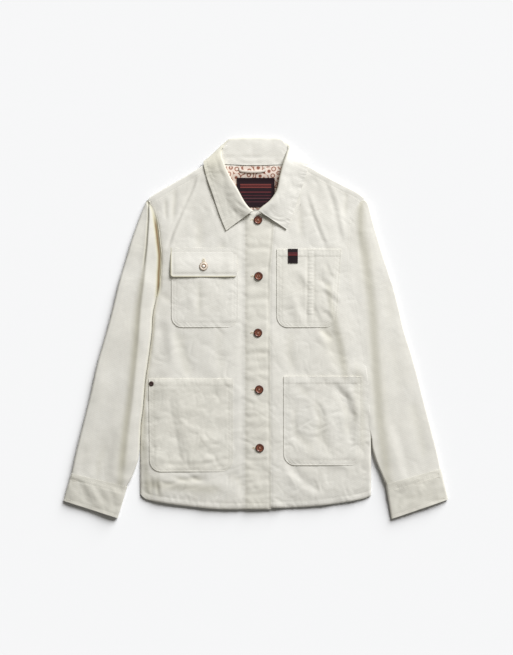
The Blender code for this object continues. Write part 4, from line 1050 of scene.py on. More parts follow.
# %% Collar sections
Collar = namedtuple("Collar", "neck roll edge turn")
COLLAR = (
    Collar((-9, 517.8, 5.2), (-4, 522, 5.5), (-52, 487, 8.3), 0),
    Collar((-22, 521.8, 5.2), (-10, 525.5, 5.6), (-57, 499, 8.3), 0),
    Collar((-40.5, 531.5, 5.3), (-20, 538, 5.8), (-65, 520, 8.4), 0),
    Collar((-56.5, 546, 5.4), (-32.5, 561, 5.9), (-75, 550, 8.7), 0),
    Collar((-69.5, 566.5, 5.8), (-46.5, 584.5, 6.2), (-84.5, 577, 9.6), 0),
    Collar((-75, 588, 6.3), (-55, 606, 6.5), (-89.5, 596, 10.2), 15),
    Collar((-75.8, 599.5, 6.2), (-58, 622, 6.3), (-91, 606.5, 7.4), 60),
    Collar((-75.5, 603, 5.9), (-57.5, 634, 5.9), (-90, 608.5, 4.4), 90),
    Collar((-73, 605, 5.5), (-52, 641.5, 5.5), (-86.5, 607, 1.6), 125),
    Collar((-64, 605, 5.2), (-45, 648, 5.3), (-76, 594.5, 0.3), 168),
    Collar((-46, 602.6, 5.1), (-32, 649.5, 5.4), (-50, 590, 0.2), 180),
    Collar((0, 601.2, 5.1), (0, 650, 5.4), (0, 589, 0.0), 180),
    Collar((46, 602.6, 5.1), (32, 649.5, 5.4), (50, 590, 0.2), 180),
    Collar((64, 605, 5.2), (44, 648, 5.3), (76, 594.5, 0.3), 168),
    Collar((73, 605, 5.5), (51, 641.5, 5.5), (87.5, 607, 1.6), 125),
    Collar((75.5, 603, 5.9), (56.5, 634, 5.9), (91, 608.5, 4.4), 90),
    Collar((75.8, 599.5, 6.2), (52, 622, 6.3), (92, 606.5, 7.4), 60),
    Collar((75, 588, 6.3), (46.5, 604, 6.5), (90.5, 596, 10.2), 15),
    Collar((69.5, 566.5, 5.8), (41, 580, 6.2), (86, 577, 9.6), 0),
    Collar((56.5, 546, 5.3), (36, 557, 5.9), (76.5, 551, 8.8), 0),
    Collar((40.5, 531.5, 5.1), (25, 540, 5.8), (66.5, 521, 8.8), 0),
    Collar((22, 521.8, 5.0), (11, 528.5, 5.5), (59, 501, 8.8), 0),
    Collar((9, 517.8, 5.0), (4, 522, 5.2), (54, 489, 8.8), 0),
)
COLLAR_ROLL, COLLAR_CROWN = 2.1, 1.0    # depth of the roll, and how far the fall bulges
COLLAR_WALL, COLLAR_RUN = 1.6, 620.0    # and the length that its puckers are counted over
COLLAR_COLUMNS, STAND_ROWS, FALL_ROWS = 250, 18, 34
collar_tracks = {(name, axis): curve([(k / (len(COLLAR) - 1), getattr(row, name)[axis])
                                      for k, row in enumerate(COLLAR)])
                 for name in ("neck", "roll", "edge") for axis in range(3)}
collar_turn = curve([(k / (len(COLLAR) - 1), row.turn) for k, row in enumerate(COLLAR)])


def unit(vectors):
    return vectors / np.maximum(np.linalg.norm(vectors, axis=-1, keepdims=True), 1e-9)


def collar_knots(t):
    """The knots of collar sections at shares t of the way round, and which way out is."""
    neck, roll, edge = (np.stack([collar_tracks[name, axis](t) for axis in range(3)], -1)
                        for name in ("neck", "roll", "edge"))
    angle = np.radians(collar_turn(t))[:, None]
    hand = np.where(t < 0.5, -1.0, 1.0)[:, None]
    apart = np.concatenate([hand * 0.86 * np.sin(angle), 0.5 * np.sin(angle), np.cos(angle)], -1)
    stand_way = unit((neck - roll) * (1, 1, 0))
    depth = np.minimum(COLLAR_ROLL, 0.45 * np.linalg.norm(neck - roll, axis=-1, keepdims=True))
    roll = roll + np.cos(angle) * depth * (0, 0, 1)
    below = roll + stand_way * depth - apart * depth
    above = roll + unit(edge - roll) * depth + apart * depth
    crown = apart * COLLAR_CROWN * np.maximum(np.cos(angle), 0)
    return [neck, neck + (below - neck) * 0.5, below, roll, above, above + (edge - above) * 0.35 + crown,
            above + (edge - above) * 0.7 + crown * 0.6, edge], apart


def along_knots(knots, places, s):
    """Points at distances s along smooth lines through knots that lie at the distances in places."""
    points = np.zeros((len(s), 3))
    for k in range(len(knots) - 1):
        inside = (s >= places[k]) & (s <= places[k + 1] + 1e-9)
        span = np.maximum(places[k + 1] - places[k], 1e-6)
        f = np.clip((s - places[k]) / span, 0, 1)[:, None]
        before, after = max(k - 1, 0), min(k + 2, len(knots) - 1)
        slope_a = (knots[k + 1] - knots[before]) / np.maximum(places[k + 1] - places[before], 1e-6)[:, None]
        slope_b = (knots[after] - knots[k]) / np.maximum(places[after] - places[k], 1e-6)[:, None]
        h = span[:, None]
        value = ((2 * f ** 3 - 3 * f ** 2 + 1) * knots[k] + (f ** 3 - 2 * f ** 2 + f) * h * slope_a
                 + (3 * f ** 2 - 2 * f ** 3) * knots[k + 1] + (f ** 3 - f ** 2) * h * slope_b)
        points = np.where(inside[:, None], value, points)
    return points


def collar_fullness(t, past_roll):
    """How far the fall stands off its section, most of all near the roll, and unlike on the two leaves."""
    upper = smooth(0.13, 0.18, t)
    right_steep = (2.6 - 1.6 * upper) * smooth(28 - 14 * upper, 8 - 2 * upper, past_roll)
    steep = np.where(t < 0.5, right_steep, 0.9 * smooth(19, 7, past_roll))
    return 1.0 + np.where(t < 0.5, 2.0, 3.9) * smooth(34, -4, past_roll) + steep


def collar_place(column, row):
    """The collar from its neck seam over the roll to its edge, with its seams, puckers and painted shade."""
    t = column / COLLAR_COLUMNS
    knots, apart = collar_knots(t)
    gaps = [np.linalg.norm(b - a, axis=-1) for a, b in zip(knots, knots[1:])]
    places = np.concatenate([np.zeros((1, len(t))), np.cumsum(gaps, axis=0)])
    stand, total = places[3], places[-1]
    s = np.where(row <= STAND_ROWS, stand * row / STAND_ROWS,
                 stand + (total - stand) * (row - STAND_ROWS) / FALL_ROWS)
    points = along_knots(knots, places, s)
    share = (s - stand) / (total - stand)
    fall = smooth(0.05, 0.2, share)
    from_edge = total - s
    around = t * COLLAR_RUN
    groove = -0.2 * np.exp(-((from_edge - 5.5) / 1.0) ** 2)
    edge_puckers = 0.4 * puckers(around, 7.5, 31) * np.exp(-((from_edge - 3) / 5) ** 2)
    soft = rumple(points[:, 0], points[:, 1], 0.6, 1.4, 33)
    band = -0.35 * np.exp(-((s - 4) / 1.0) ** 2) + 0.25 * puckers(around, 9, 32) * np.exp(-((s - 4) / 5) ** 2)
    band = band - 0.3 * np.exp(-((s - 14) / 1.2) ** 2)
    on_top = np.maximum(np.cos(np.radians(collar_turn(t))), 0)
    rolled = smooth(-0.25, 0.08, share)
    lift = fall * on_top * (groove + edge_puckers + soft) + rolled * on_top * collar_fullness(t, s - stand)
    points = points + apart * lift[:, None]
    stand_lift = (1 - fall) * (band + 1.1 * soft) * smooth(0.25, 0.35, t) * smooth(0.75, 0.65, t)
    points[:, 2] = np.maximum(points[:, 2] + stand_lift, 0.05)
    # Painted shade: olive just round the roll, and over the right leaf, more towards its upper end.
    shade = 0.25 * np.exp(-(share / 0.06) ** 2)
    turned = (0.08 + 0.16 * smooth(0.14, 0.25, t)) * smooth(0.37, 0.31, t) * smooth(-0.7, -0.2, share)
    shade = np.maximum(shade, turned)
    return points[:, 0], points[:, 1], points[:, 2], shade


collar = lay_cloth("cloth_collar", COLLAR_COLUMNS, STAND_ROWS + FALL_ROWS, collar_place, COLLAR_WALL,
                   drill, ["collar"])


# %% [markdown]
# ## Pockets
#
# The patch pockets are pressed flat, turned in all round and sewn on, so each is lowest at
# its seam, a little full inside it, and puckered along it. A grid follows the rounded lower
# corners: its rows get narrower towards the bottom.

# %% Patch pockets
Patch = namedtuple("Patch", "side left right bottom_left bottom_right bottom top radius")  # left: towards -X
PATCHES = {
    "chest_pocket_right": Patch(RIGHT, -147, -30, -147, -31, 318, 456, 19),
    "chest_pocket_left": Patch(LEFT, 37, 150, 37, 140, 318, 454, 19),
    "lower_pocket_right": Patch(RIGHT, -187, -40, -185, -40, 66, 228, 20),
    "lower_pocket_left": Patch(LEFT, 49, 185, 49, 185, 77, 232, 20),
}
PATCH_COLUMNS, PATCH_ROWS, CORNER_ROWS = 90, 84, 10
POCKET_LIFT = 1.2               # outer side of a pocket's edge above the front
POCKET_SEAMS = (2.4, 8.2)       # its two rows of stitches, in from the edge
MOUTH_SEAM = 12.0               # and the row below its mouth
PEN_SEAMS = (90, 102)           # the rows on both sides of the pen slot
SLOT_RIB = 6.2                  # mm from rib to rib in the seam between them
POCKET_TINT = {"lower_pocket_right": 0.07, "chest_pocket_left": 0.04}
FLAP_REACH = 406.0              # the flap hides the pocket above this
POCKET_CREASES = {
    "chest_pocket_right": (Crease("soft", -0.9, 6, ((-99, 408), (-99, 370), (-101, 330))),
                           Crease("soft", 0.5, 7, ((-112, 400), (-112, 360), (-114, 330)))),
    "chest_pocket_left": (Crease("soft", -0.7, 2.6, ((90, 462), (90, 390), (89, 310))),
                          Crease("soft", -0.5, 2.6, ((102, 462), (102, 390), (101, 310))),
                          Crease("soft", -0.6, 5, ((118, 440), (128, 410), (140, 396))),
                          Crease("rise", 0.5, 12, ((120, 450), (121, 390), (124, 325))),
                          Crease("lap", 0.5, 4, ((112, 352), (126, 344), (138, 330)))),
    "lower_pocket_right": (Crease("soft", 1.1, 17, ((-92, 205), (-90, 150), (-88, 100))),
                           Crease("rise", 1.0, 4.5, ((-149, 206), (-144, 165), (-136, 125), (-126, 76))),
                           Crease("soft", 0.7, 8, ((-136, 200), (-130, 160), (-120, 110))),
                           Crease("lap", -0.4, 6, ((-104, 112), (-80, 92), (-48, 100), (-38, 108))),
                           Crease("soft", -0.6, 9, ((-94, 150), (-70, 132), (-50, 140))),
                           Crease("soft", -0.8, 3, ((-178, 80), (-130, 78), (-84, 80), (-56, 88)))),
    "lower_pocket_left": (Crease("soft", -1.0, 8, ((100, 205), (112, 160), (110, 100))),
                          Crease("lap", 1.0, 6, ((136, 228), (150, 205), (172, 186))),
                          Crease("soft", -1.0, 7, ((150, 200), (160, 165), (160, 120))),
                          Crease("rise", 1.1, 7, ((176, 240), (176, 190), (175, 140))),
                          Crease("soft", -0.8, 7, ((70, 195), (66, 150), (76, 108)))),
}


def patch_span(patch, y):
    """Left and right ends of a pocket at a height, round its lower corners."""
    up = (y - patch.bottom) / (patch.top - patch.bottom)
    left = patch.bottom_left + (patch.left - patch.bottom_left) * up
    right = patch.bottom_right + (patch.right - patch.bottom_right) * up
    drop = np.maximum(patch.radius - (y - patch.bottom), 0)
    inset = patch.radius - np.sqrt(np.maximum(patch.radius ** 2 - drop ** 2, 0))
    return left + inset, right - inset


def patch_height(name, x, y):
    """Outer side of a pocket: the front under it, and what the seam and the fullness add."""
    patch = PATCHES[name]
    left, right = patch_span(patch, y)
    inward = np.minimum(np.minimum(x - left, right - x), y - patch.bottom)
    inward = np.maximum(inward, 0)
    mouth = patch.top - y
    seed = 100 + sorted(PATCHES).index(name) * 7
    along = np.where(x - left < right - x, y, y + 200) + x * 0.9
    seam = 0.13 * puckers(along, 6.5, seed) * np.exp(-((inward - 5) / 5) ** 2)
    full = 0.5 * smooth(2, 13, inward)
    groove = -0.22 * sum(np.exp(-((inward - inset) / 0.8) ** 2) for inset in POCKET_SEAMS)
    band = 0.35 * smooth(13, 11.5, mouth) - 0.25 * np.exp(-((mouth - MOUTH_SEAM) / 0.8) ** 2)
    band += 0.1 * puckers(x, 6.5, seed + 1) * np.exp(-((mouth - 8) / 5) ** 2)
    fine = 0.7 * crumple_strength(y) if patch.side == RIGHT else 0.5
    relief = crease_relief(x, y, POCKET_CREASES[name]) + rumple(x, y, 0.5, fine, seed + 2)
    lift = POCKET_LIFT * (1 - 0.7 * smooth(0.35, 1, (x - patch.left) / (patch.right - patch.left)))
    lift = lift * (1 - 0.6 * smooth(5, 0, mouth) * (patch.side == RIGHT))
    height = lift + full + seam + groove + band + relief * smooth(1, 10, inward)
    if name == "chest_pocket_left":             # the seam of the pen slot is ribbed by its stitches
        ribs = np.sin(2 * math.pi * y / SLOT_RIB) * np.exp(-((x - sum(PEN_SEAMS) / 2) / 5.5) ** 6)
        height = height + 0.14 * ribs * smooth(325, 335, y)
    if name == "chest_pocket_right":
        height = 0.1 + (height - 0.1) * smooth(FLAP_REACH + 8, FLAP_REACH + 1, y)
    return height


def patch_place(name):
    patch = PATCHES[name]

    def place(column, row):
        bend = np.minimum(row / CORNER_ROWS, 1) * math.pi / 2
        straight = np.maximum(row - CORNER_ROWS, 0) / (PATCH_ROWS - CORNER_ROWS)
        y = patch.bottom + patch.radius * (1 - np.cos(bend))
        y = y + (patch.top - patch.bottom - patch.radius) * straight
        left, right = patch_span(patch, y)
        x = left + (right - left) * column / PATCH_COLUMNS
        relief = patch_height(name, x, y)
        # Painted shade in the pocket's folds and the front's; two pockets are a little more olive.
        folds = fold_shade(x, y, POCKET_CREASES[name]), fold_shade(x, y, FRONT_CREASES[patch.side])
        depth = np.maximum(np.maximum(*folds), POCKET_TINT.get(name, 0))
        return x, y, front_height(patch.side, x, y) + relief, depth
    return place


def pocket_surface(name, x, y):
    """Outer side of a pocket above the table."""
    return front_height(PATCHES[name].side, x, y) + patch_height(name, x, y)


pockets = {name: lay_cloth("cloth_" + name, PATCH_COLUMNS, PATCH_ROWS, patch_place(name), DRILL, drill,
                           [name])
           for name in PATCHES}


# %% [markdown]
# ## Flap
#
# The flap hangs over the right chest pocket from a stitched seam. Its free edge is stiff and
# stands off the pocket by a few millimetres, so it throws the darkest line on the front.

# %% Chest flap
FLAP = Patch(RIGHT, -148.5, -33, -148.5, -33, FLAP_REACH, 457, 5)
FLAP_COLUMNS, FLAP_ROWS, FLAP_WALL = 84, 44, 1.4
FLAP_SEAM, FLAP_TOP_SEAMS = 5.5, (1.8, 7.0)     # rows of stitches, in from its edge and down from its top
LIP_TINT = 0.58                 # the flap's free edge is a warm line


def flap_height(x, y):
    """What the flap adds to the front under it: sewn down along the top, and hanging free below."""
    left, right = patch_span(FLAP, y)
    inward = np.maximum(np.minimum(np.minimum(x - left, right - x), y - FLAP.bottom), 0)
    hang = smooth(FLAP.top - 4, FLAP.bottom + 8, y)
    top_seam = -0.2 * np.exp(-((FLAP.top - y - FLAP_TOP_SEAMS[1]) / 0.9) ** 2)
    free = np.maximum(np.minimum(x - left, y - FLAP.bottom), 0)
    curl = -0.6 * np.exp(-((free - 3.0) / np.where(free > 3.0, 4.5, 1.6)) ** 2)
    edge = -0.2 * np.exp(-((inward - FLAP_SEAM) / 0.9) ** 2)
    sewn = smooth(-6, 30, FLAP.top - y) * (1 - 0.75 * smooth(16, 0, right - x) * (1 - 0.6 * hang))
    lift = 0.1 + sewn * (2.0 + 1.7 * hang + 0.4 * np.sin((x + 150) / 19.0) * hang)
    return lift + top_seam + edge + curl * sewn + rumple(x, y, 0.5, 0.6, 93)


def calm_front(x, y):
    """The right front with its creases at half their height and no rumple, for what stands off it."""
    return FRONT_TOP + armhole_valley(RIGHT, -x, y) + 0.5 * crease_relief(x, y, FRONT_CREASES[RIGHT])


def flap_surface(x, y):
    return calm_front(x, y) + flap_height(x, y)


def flap_place(column, row):
    y = FLAP.bottom + (FLAP.top - FLAP.bottom) * row / FLAP_ROWS
    left, right = patch_span(FLAP, y)
    x = left + (right - left) * column / FLAP_COLUMNS
    lip = np.minimum(x - left, y - FLAP.bottom)
    return x, y, flap_surface(x, y), LIP_TINT * np.exp(-(lip / 1.5) ** 2)


flap = lay_cloth("cloth_chest_flap", FLAP_COLUMNS, FLAP_ROWS, flap_place, FLAP_WALL, drill,
                 ["chest_flap"])


# %% [markdown]
# ## Inside the neck
#
# Four small things show there: a lining of printed cotton, a woven label, a hanger loop and
# the inside of the stand. The print is a common scroll of rust and brown on sandy pink, made
# from rings that are bent by noise. The label is woven in near-black with plain bars.

# %% Printed cotton, woven tape
SCROLL, SCROLL_BEND = 13.0, 7.0         # mm: size of the print's cells, and of the noise that bends them
SCROLL_TURNS = 16.0             # how fast the inks change across a cell


def printed_cotton():
    material, shader = new_material("printed_cotton", "c9a48c", 0.8)
    place = add_node(material, "ShaderNodeTexCoord").outputs["Object"]
    cells = add_node(material, "ShaderNodeTexVoronoi", {"Scale": 1 / (SCROLL * MM), "Randomness": 0.8,
                                                        "feature": "F1"}, [("Vector", place)])
    bend = add_node(material, "ShaderNodeTexNoise", {"Scale": 1 / (SCROLL_BEND * MM), "Detail": 2.0},
                    [("Vector", place)])
    rings = add_node(material, "ShaderNodeMath", {"operation": "MULTIPLY_ADD"})
    join(material, cells.outputs["Distance"], rings.inputs[0])
    rings.inputs[1].default_value = SCROLL_TURNS
    join(material, bend.outputs["Fac"], rings.inputs[2])
    turns = add_node(material, "ShaderNodeMath", {"operation": "SINE"})
    join(material, rings.outputs["Value"], turns.inputs[0])
    line = add_node(material, "ShaderNodeMapRange", {"From Min": -1.0}, [("Value", turns.outputs["Value"])])
    inks = add_node(material, "ShaderNodeValToRGB")
    join(material, line.outputs["Result"], inks.inputs["Fac"])
    ramp = inks.color_ramp
    ramp.elements[0].color, ramp.elements[0].position = to_linear("8a5443"), 0.0
    ramp.elements[1].color, ramp.elements[1].position = to_linear("ecdccf"), 0.5
    for position, colour in ((0.1, "a87462"), (0.24, "dcc0ae")):
        ramp.elements.new(position).color = to_linear(colour)
    ramp.interpolation = "EASE"
    join(material, inks.outputs["Color"], shader.inputs["Base Color"])
    return material


def woven_tape(name, ground, patch, half, bars):
    """Woven tape: a dark ground with plain bars across its middle, from share to share of its height."""
    material, shader = new_material(name, ground, 0.75, Specular_IOR_Level=0.2)
    place = add_node(material, "ShaderNodeTexCoord").outputs["Object"]
    parts = add_node(material, "ShaderNodeSeparateXYZ", links=[("Vector", place)])
    ends = {"From Min": (patch.bottom + HEM_Y) * MM, "From Max": (patch.top + HEM_Y) * MM}
    share = add_node(material, "ShaderNodeMapRange", ends, [("Value", parts.outputs["Y"])])
    ramp_node = add_node(material, "ShaderNodeValToRGB", links=[("Fac", share.outputs["Result"])])
    ramp = ramp_node.color_ramp
    ramp.interpolation = "CONSTANT"
    ramp.elements[0].color, ramp.elements[0].position = to_linear(ground), 0.0
    ramp.elements[1].color, ramp.elements[1].position = to_linear(ground), 1.0
    for start, end, thread in bars:
        ramp.elements.new(start).color = to_linear(thread)
        ramp.elements.new(end).color = to_linear(ground)
    inside = add_node(material, "ShaderNodeMath", {"operation": "COMPARE"})
    join(material, parts.outputs["X"], inside.inputs[0])
    inside.inputs[1].default_value = (patch.left + patch.right) / 2 * MM
    inside.inputs[2].default_value = half * MM
    woven = add_node(material, "ShaderNodeMix", {"data_type": "RGBA"})
    join(material, inside.outputs["Value"], woven.inputs[0])
    woven.inputs[6].default_value = to_linear(ground)
    join(material, ramp_node.outputs["Color"], woven.inputs[7])
    join(material, woven.outputs[2], shader.inputs["Base Color"])
    return material


lining_print = printed_cotton()


# %% Lining, label and tab
LINING_BOTTOM, LINING_TOP, LINING_HALF = 524.0, 599.0, 58.0
LINING_COLUMNS, LINING_ROWS = 48, 36
LABEL = Patch(RIGHT, -33, 33, -33, 33, 528, 579, 0)
TAB = Patch(LEFT, 56.5, 73.5, 56.5, 73.5, 430, 455, 0)
LABEL_BARS = ((0.17, 0.19, "5c3339"), (0.29, 0.31, "6d4348"), (0.39, 0.41, "5c2c33"), (0.5, 0.53, "6d3236"),
              (0.66, 0.69, "83403a"), (0.71, 0.74, "6d302f"), (0.76, 0.79, "83403a"))
TAB_BARS = ((0.52, 0.6, "6e2e2f"), (0.6, 0.76, "52252a"))
LINING_LIFT, LABEL_LIFT = 2.9, 4.1      # outer sides above the underside of the back
TAB_LIFT = 1.3                  # outer side of the tab above the pocket


def back_rise(x, y):
    """Underside of the back, above the table."""
    return NECK_LIFT * neck_share(np.abs(x), y)


def lining_place(column, row):
    level = LINING_BOTTOM + (LINING_TOP - LINING_BOTTOM) * row / LINING_ROWS
    half = LINING_HALF * (0.66 + 0.34 * smooth(LINING_BOTTOM, LINING_BOTTOM + 50, level))
    x = half * (column / LINING_COLUMNS * 2 - 1)
    low = np.maximum(LINING_BOTTOM, neck_edge[LEFT](np.abs(x)) + 3)
    y = low + (LINING_TOP - low) * row / LINING_ROWS
    swell = 0.3 * waves(x, y, 30, 81) * smooth(LINING_TOP, LINING_TOP - 12, y) * 0.5
    return x, y, back_rise(x, y) + LINING_LIFT + swell, np.zeros_like(x)


def label_height(x, y):
    return back_rise(x, y) + LABEL_LIFT + 0.25 * np.sin((x + y) / 17.0) * smooth(LABEL.top, LABEL.top - 15, y)


def tab_height(x, y):
    return pocket_surface("chest_pocket_left", x, y) + TAB_LIFT


def lay_tape(name, patch, height, columns, rows, wall, weave, node):
    """A plain rectangle of woven tape, laid on a surface."""
    def place(column, row):
        y = patch.bottom + (patch.top - patch.bottom) * row / rows
        x = patch.left + (patch.right - patch.left) * column / columns
        return x, y, height(x, y), np.zeros_like(x)
    return lay_cloth(name, columns, rows, place, wall, weave, [node])


label_weave = woven_tape("woven_label", "27171d", LABEL, 27.0, LABEL_BARS)
tab_weave = woven_tape("woven_tab", "231a1e", TAB, 9.0, TAB_BARS)
lining = lay_cloth("cloth_neck_lining", LINING_COLUMNS, LINING_ROWS, lining_place, 0.8, lining_print,
                   ["neck_lining"])
label = lay_tape("woven_neck_label", LABEL, label_height, 24, 20, 0.7, label_weave, "neck_label")
tab = lay_tape("woven_pocket_tab", TAB, tab_height, 12, 16, 0.8, tab_weave, "pocket_tab")


# %% Hanger loop
LOOP_LINE = ((-28, 597.5), (-27, 592.5), (-20, 590.5), (-5, 589.8), (10, 590.5), (16, 592.5), (17, 597.5))
LOOP_WIDTH, LOOP_ARCH, LOOP_LIFT = 4.0, 1.4, 1.6        # it lies this high on the lining
LOOP_COLUMNS, LOOP_ROWS = 60, 6
loop_steps = np.concatenate([[0.0], np.cumsum([math.dist(a, b) for a, b in zip(LOOP_LINE, LOOP_LINE[1:])])])
loop_x = curve(list(zip(loop_steps, [p[0] for p in LOOP_LINE])))
loop_y = curve(list(zip(loop_steps, [p[1] for p in LOOP_LINE])))
loop_cloth = cotton_drill("loop_tape", "e2d0c2")


def loop_place(column, row):
    s = loop_steps[-1] * column / LOOP_COLUMNS
    dx, dy = loop_x(s + 0.4) - loop_x(s - 0.4), loop_y(s + 0.4) - loop_y(s - 0.4)
    length = np.maximum(np.hypot(dx, dy), 1e-6)
    w = LOOP_WIDTH * (row / LOOP_ROWS - 0.5)
    x, y = loop_x(s) - dy / length * w, loop_y(s) + dx / length * w
    z = back_rise(x, y) + LINING_LIFT + LOOP_LIFT + LOOP_ARCH * np.sin(math.pi * column / LOOP_COLUMNS)
    z = z - 0.5 * (2 * row / LOOP_ROWS - 1) ** 2
    return x, y, z, np.zeros_like(x)


loop = lay_cloth("cloth_hanger_loop", LOOP_COLUMNS, LOOP_ROWS, loop_place, 0.9, loop_cloth,
                 ["hanger_loop"])


# %% [markdown]
# ## Buttons
#
# The front buttons are four-hole sew-through buttons, pressed from brown resin that looks
# like horn: a raised rim, a dished middle, and thread from hole to hole. Their rims are a
# darker resin, as painted shade, and their holes are dark discs, as painted shadow. The
# flap's button has a cream middle in a copper rim, with a near-white dome in the middle as a
# painted highlight. Their bodies are profiles, spun round.

# %% Button finishes
STREAK = 4.0                    # mm, length of the streaks in the horn


def horn_resin():
    material, shader = new_material("brown_horn_resin", "7a3424", 0.35, Coat_Weight=0.15, Coat_Roughness=0.25)
    place = add_node(material, "ShaderNodeTexCoord").outputs["Object"]
    streaks = add_node(material, "ShaderNodeTexNoise", {"Scale": 1 / (STREAK * MM), "Detail": 4.0,
                                                        "Distortion": 1.4}, [("Vector", place)])
    inks = add_node(material, "ShaderNodeValToRGB")
    join(material, streaks.outputs["Fac"], inks.inputs["Fac"])
    for ink, colour, position in zip(inks.color_ramp.elements, ("5a2b20", "9a6148"), (0.35, 0.68)):
        ink.color, ink.position = to_linear(colour), position
    join(material, inks.outputs["Color"], shader.inputs["Base Color"])
    return material


resin = horn_resin()
# Painted shade: the buttons' rims are this darker resin.
rim_shade_resin, _ = new_material("rim_shade_resin", "45211c", 0.4, Coat_Weight=0.1)
# Painted shadow: dark discs stand for the insides of the buttons' holes.
hole_shadow_paint, _ = new_material("hole_shadow", "3a1c16", 0.9)
closed_slit, _ = new_material("closed_slit", "d9d0ba", 0.9)
cream_shell, _ = new_material("cream_shell", "eadccb", 0.3, Coat_Weight=0.3)
# Painted highlight: the flap button's middle dome is this near white.
glint_dome, _ = new_material("glint_white", "fbf6ee", 0.2, Coat_Weight=0.5)
copper, _ = new_material("aged_copper", "9a7048", 0.35, Metallic=0.8)
dark_copper, _ = new_material("darkened_copper", "4c3b38", 0.5, Metallic=0.6)
thread, _ = new_material("ecru_thread", "e8dfc9", 0.7, Sheen_Weight=0.2)
button_thread, _ = new_material("brown_thread", "b98d78", 0.7)
seam_thread, _ = new_material("seam_thread", "e0dccf", 0.75)


# %% Turned pieces
def spun(profile, at, segments=48):
    """A closed turned mesh from a profile of (radius, height), lower middle to upper middle."""
    mesh = bmesh.new()
    points = [mesh.verts.new((radius * MM, 0, height * MM)) for radius, height in profile]
    edges = [mesh.edges.new(pair) for pair in zip(points, points[1:])]
    bmesh.ops.spin(mesh, geom=points + edges, cent=(0, 0, 0), axis=(0, 0, 1), angle=2 * math.pi,
                   steps=segments, use_merge=True)
    bmesh.ops.remove_doubles(mesh, verts=mesh.verts, dist=1e-6)
    bmesh.ops.recalc_face_normals(mesh, faces=mesh.faces)
    bmesh.ops.translate(mesh, verts=mesh.verts, vec=at)
    return mesh


def rounded_bars(bars):
    """A mesh of short rounded bars, from rows of (start, end, radius, flatness) in mm."""
    mesh = bmesh.new()
    bmesh.ops.create_uvsphere(mesh, u_segments=6, v_segments=4, radius=1.0)
    one_bar = bpy.data.meshes.new("one_bar")
    mesh.to_mesh(one_bar)
    mesh.clear()
    mesh.from_mesh(one_bar)             # its corners are now in one unbroken order
    bpy.data.meshes.remove(one_bar)
    shape = np.array([vert.co for vert in mesh.verts])
    while len(mesh.verts) < len(shape) * len(bars):
        bmesh.ops.duplicate(mesh, geom=mesh.verts[:] + mesh.edges[:] + mesh.faces[:])
    bmesh.ops.delete(mesh, geom=mesh.verts[:][len(shape) * len(bars):], context="VERTS")
    starts, ends = np.array([bar[0] for bar in bars], float), np.array([bar[1] for bar in bars], float)
    radius, flatness = np.array([bar[2:] for bar in bars], float).T[:, :, None]
    along = unit(ends - starts)
    sideways = unit(np.cross(along, (0, 0, 1)))
    upwards = np.cross(sideways, along)
    reach = np.linalg.norm(ends - starts, axis=1)[:, None] / 2 + 0.6 * radius
    points = ((starts + ends)[:, None] / 2
              + shape[None, :, 0:1] * (radius * sideways)[:, None]
              + shape[None, :, 1:2] * (radius * flatness * upwards)[:, None]
              + shape[None, :, 2:3] * (reach * along)[:, None])
    for vert, point in zip(mesh.verts, points.reshape(-1, 3)):
        vert.co = point * MM
    bmesh.ops.recalc_face_normals(mesh, faces=mesh.faces)
    return mesh


BUTTON_RADIUS, HOLE_PITCH, HOLE_RADIUS = 7.5, 3.4, 0.85
BUTTON_PROFILE = ((0, 0), (5.2, 0), (6.9, 0.5), (7.4, 1.1), (BUTTON_RADIUS, 1.7), (7.2, 2.35), (6.6, 2.7),
                  (6.0, 2.6), (5.5, 2.3), (5.1, 1.9), (4.6, 1.7), (2.5, 1.6), (0, 1.57))
FACE_PROFILE = ((0, 1.3), (6.1, 1.3), (6.1, 2.7), (5.9, 2.78), (5.5, 2.5), (5.1, 2.1), (4.6, 1.88),
                (2.5, 1.76), (0, 1.72))
FACE = FACE_PROFILE[-1][1]      # the middle of the face, where the thread comes out
THREAD_RADIUS, THREAD_APART = 0.34, 0.35        # threads lie in pairs, this far each side of a hole's middle
THREAD_LIFT, THREAD_LEVEL = 0.35, 0.3           # the first pair above the face, and the next one above it


def place_on(node, surface, sink=0.5):
    """The middle of a node, on the cloth that it is fastened to."""
    low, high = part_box(node)
    x, y = (low.x + high.x) / 2, (low.y + high.y) / 2
    z = float(surface(np.array([x / MM]), np.array([y / MM - HEM_Y]))[0]) - sink
    return Vector((x, y, z * MM))


def sew_button(name, node, cross):
    """A button on the band, with threads that cross or lie side by side."""
    at = place_on(node, partial(front_height, RIGHT))
    # Its body shows as a ring round the face, in darker resin: painted shade on the rim.
    finish_piece(name, spun(BUTTON_PROFILE, at), rim_shade_resin, [node])
    finish_piece(name + "_face", spun(FACE_PROFILE, at), resin)
    # The holes are dark discs on the face: painted shadow in them.
    hole_shadows, threads = bmesh.new(), []
    corners = [Vector((sx, sy, 0)) * HOLE_PITCH / 2 * MM for sx in (-1, 1) for sy in (-1, 1)]
    for corner in corners:
        made = bmesh.ops.create_cone(hole_shadows, cap_ends=True, segments=16, radius1=HOLE_RADIUS * MM,
                                     radius2=HOLE_RADIUS * MM, depth=0.12 * MM)
        bmesh.ops.translate(hole_shadows, verts=made["verts"], vec=at + corner + Vector((0, 0, FACE * MM)))
    pairs = ((0, 3), (1, 2)) if cross else ((0, 1), (2, 3))
    for level, (a, b) in enumerate(pairs):
        for offset in (-THREAD_APART, THREAD_APART):
            height = FACE + THREAD_LIFT + THREAD_LEVEL * level
            lift = Vector((0 if cross else offset, offset if cross else 0, height))
            threads.append(((at + corners[a]) / MM + lift, (at + corners[b]) / MM + lift, THREAD_RADIUS, 1.0))
    finish_piece(name + "_hole_shadows", hole_shadows, hole_shadow_paint)
    finish_piece(name + "_thread", rounded_bars(threads), button_thread)


for number in range(1, 6):
    sew_button("button_%d" % number, "front_button_%d" % number, cross=number != 2)
print("five front buttons of %.0f mm" % (2 * BUTTON_RADIUS))

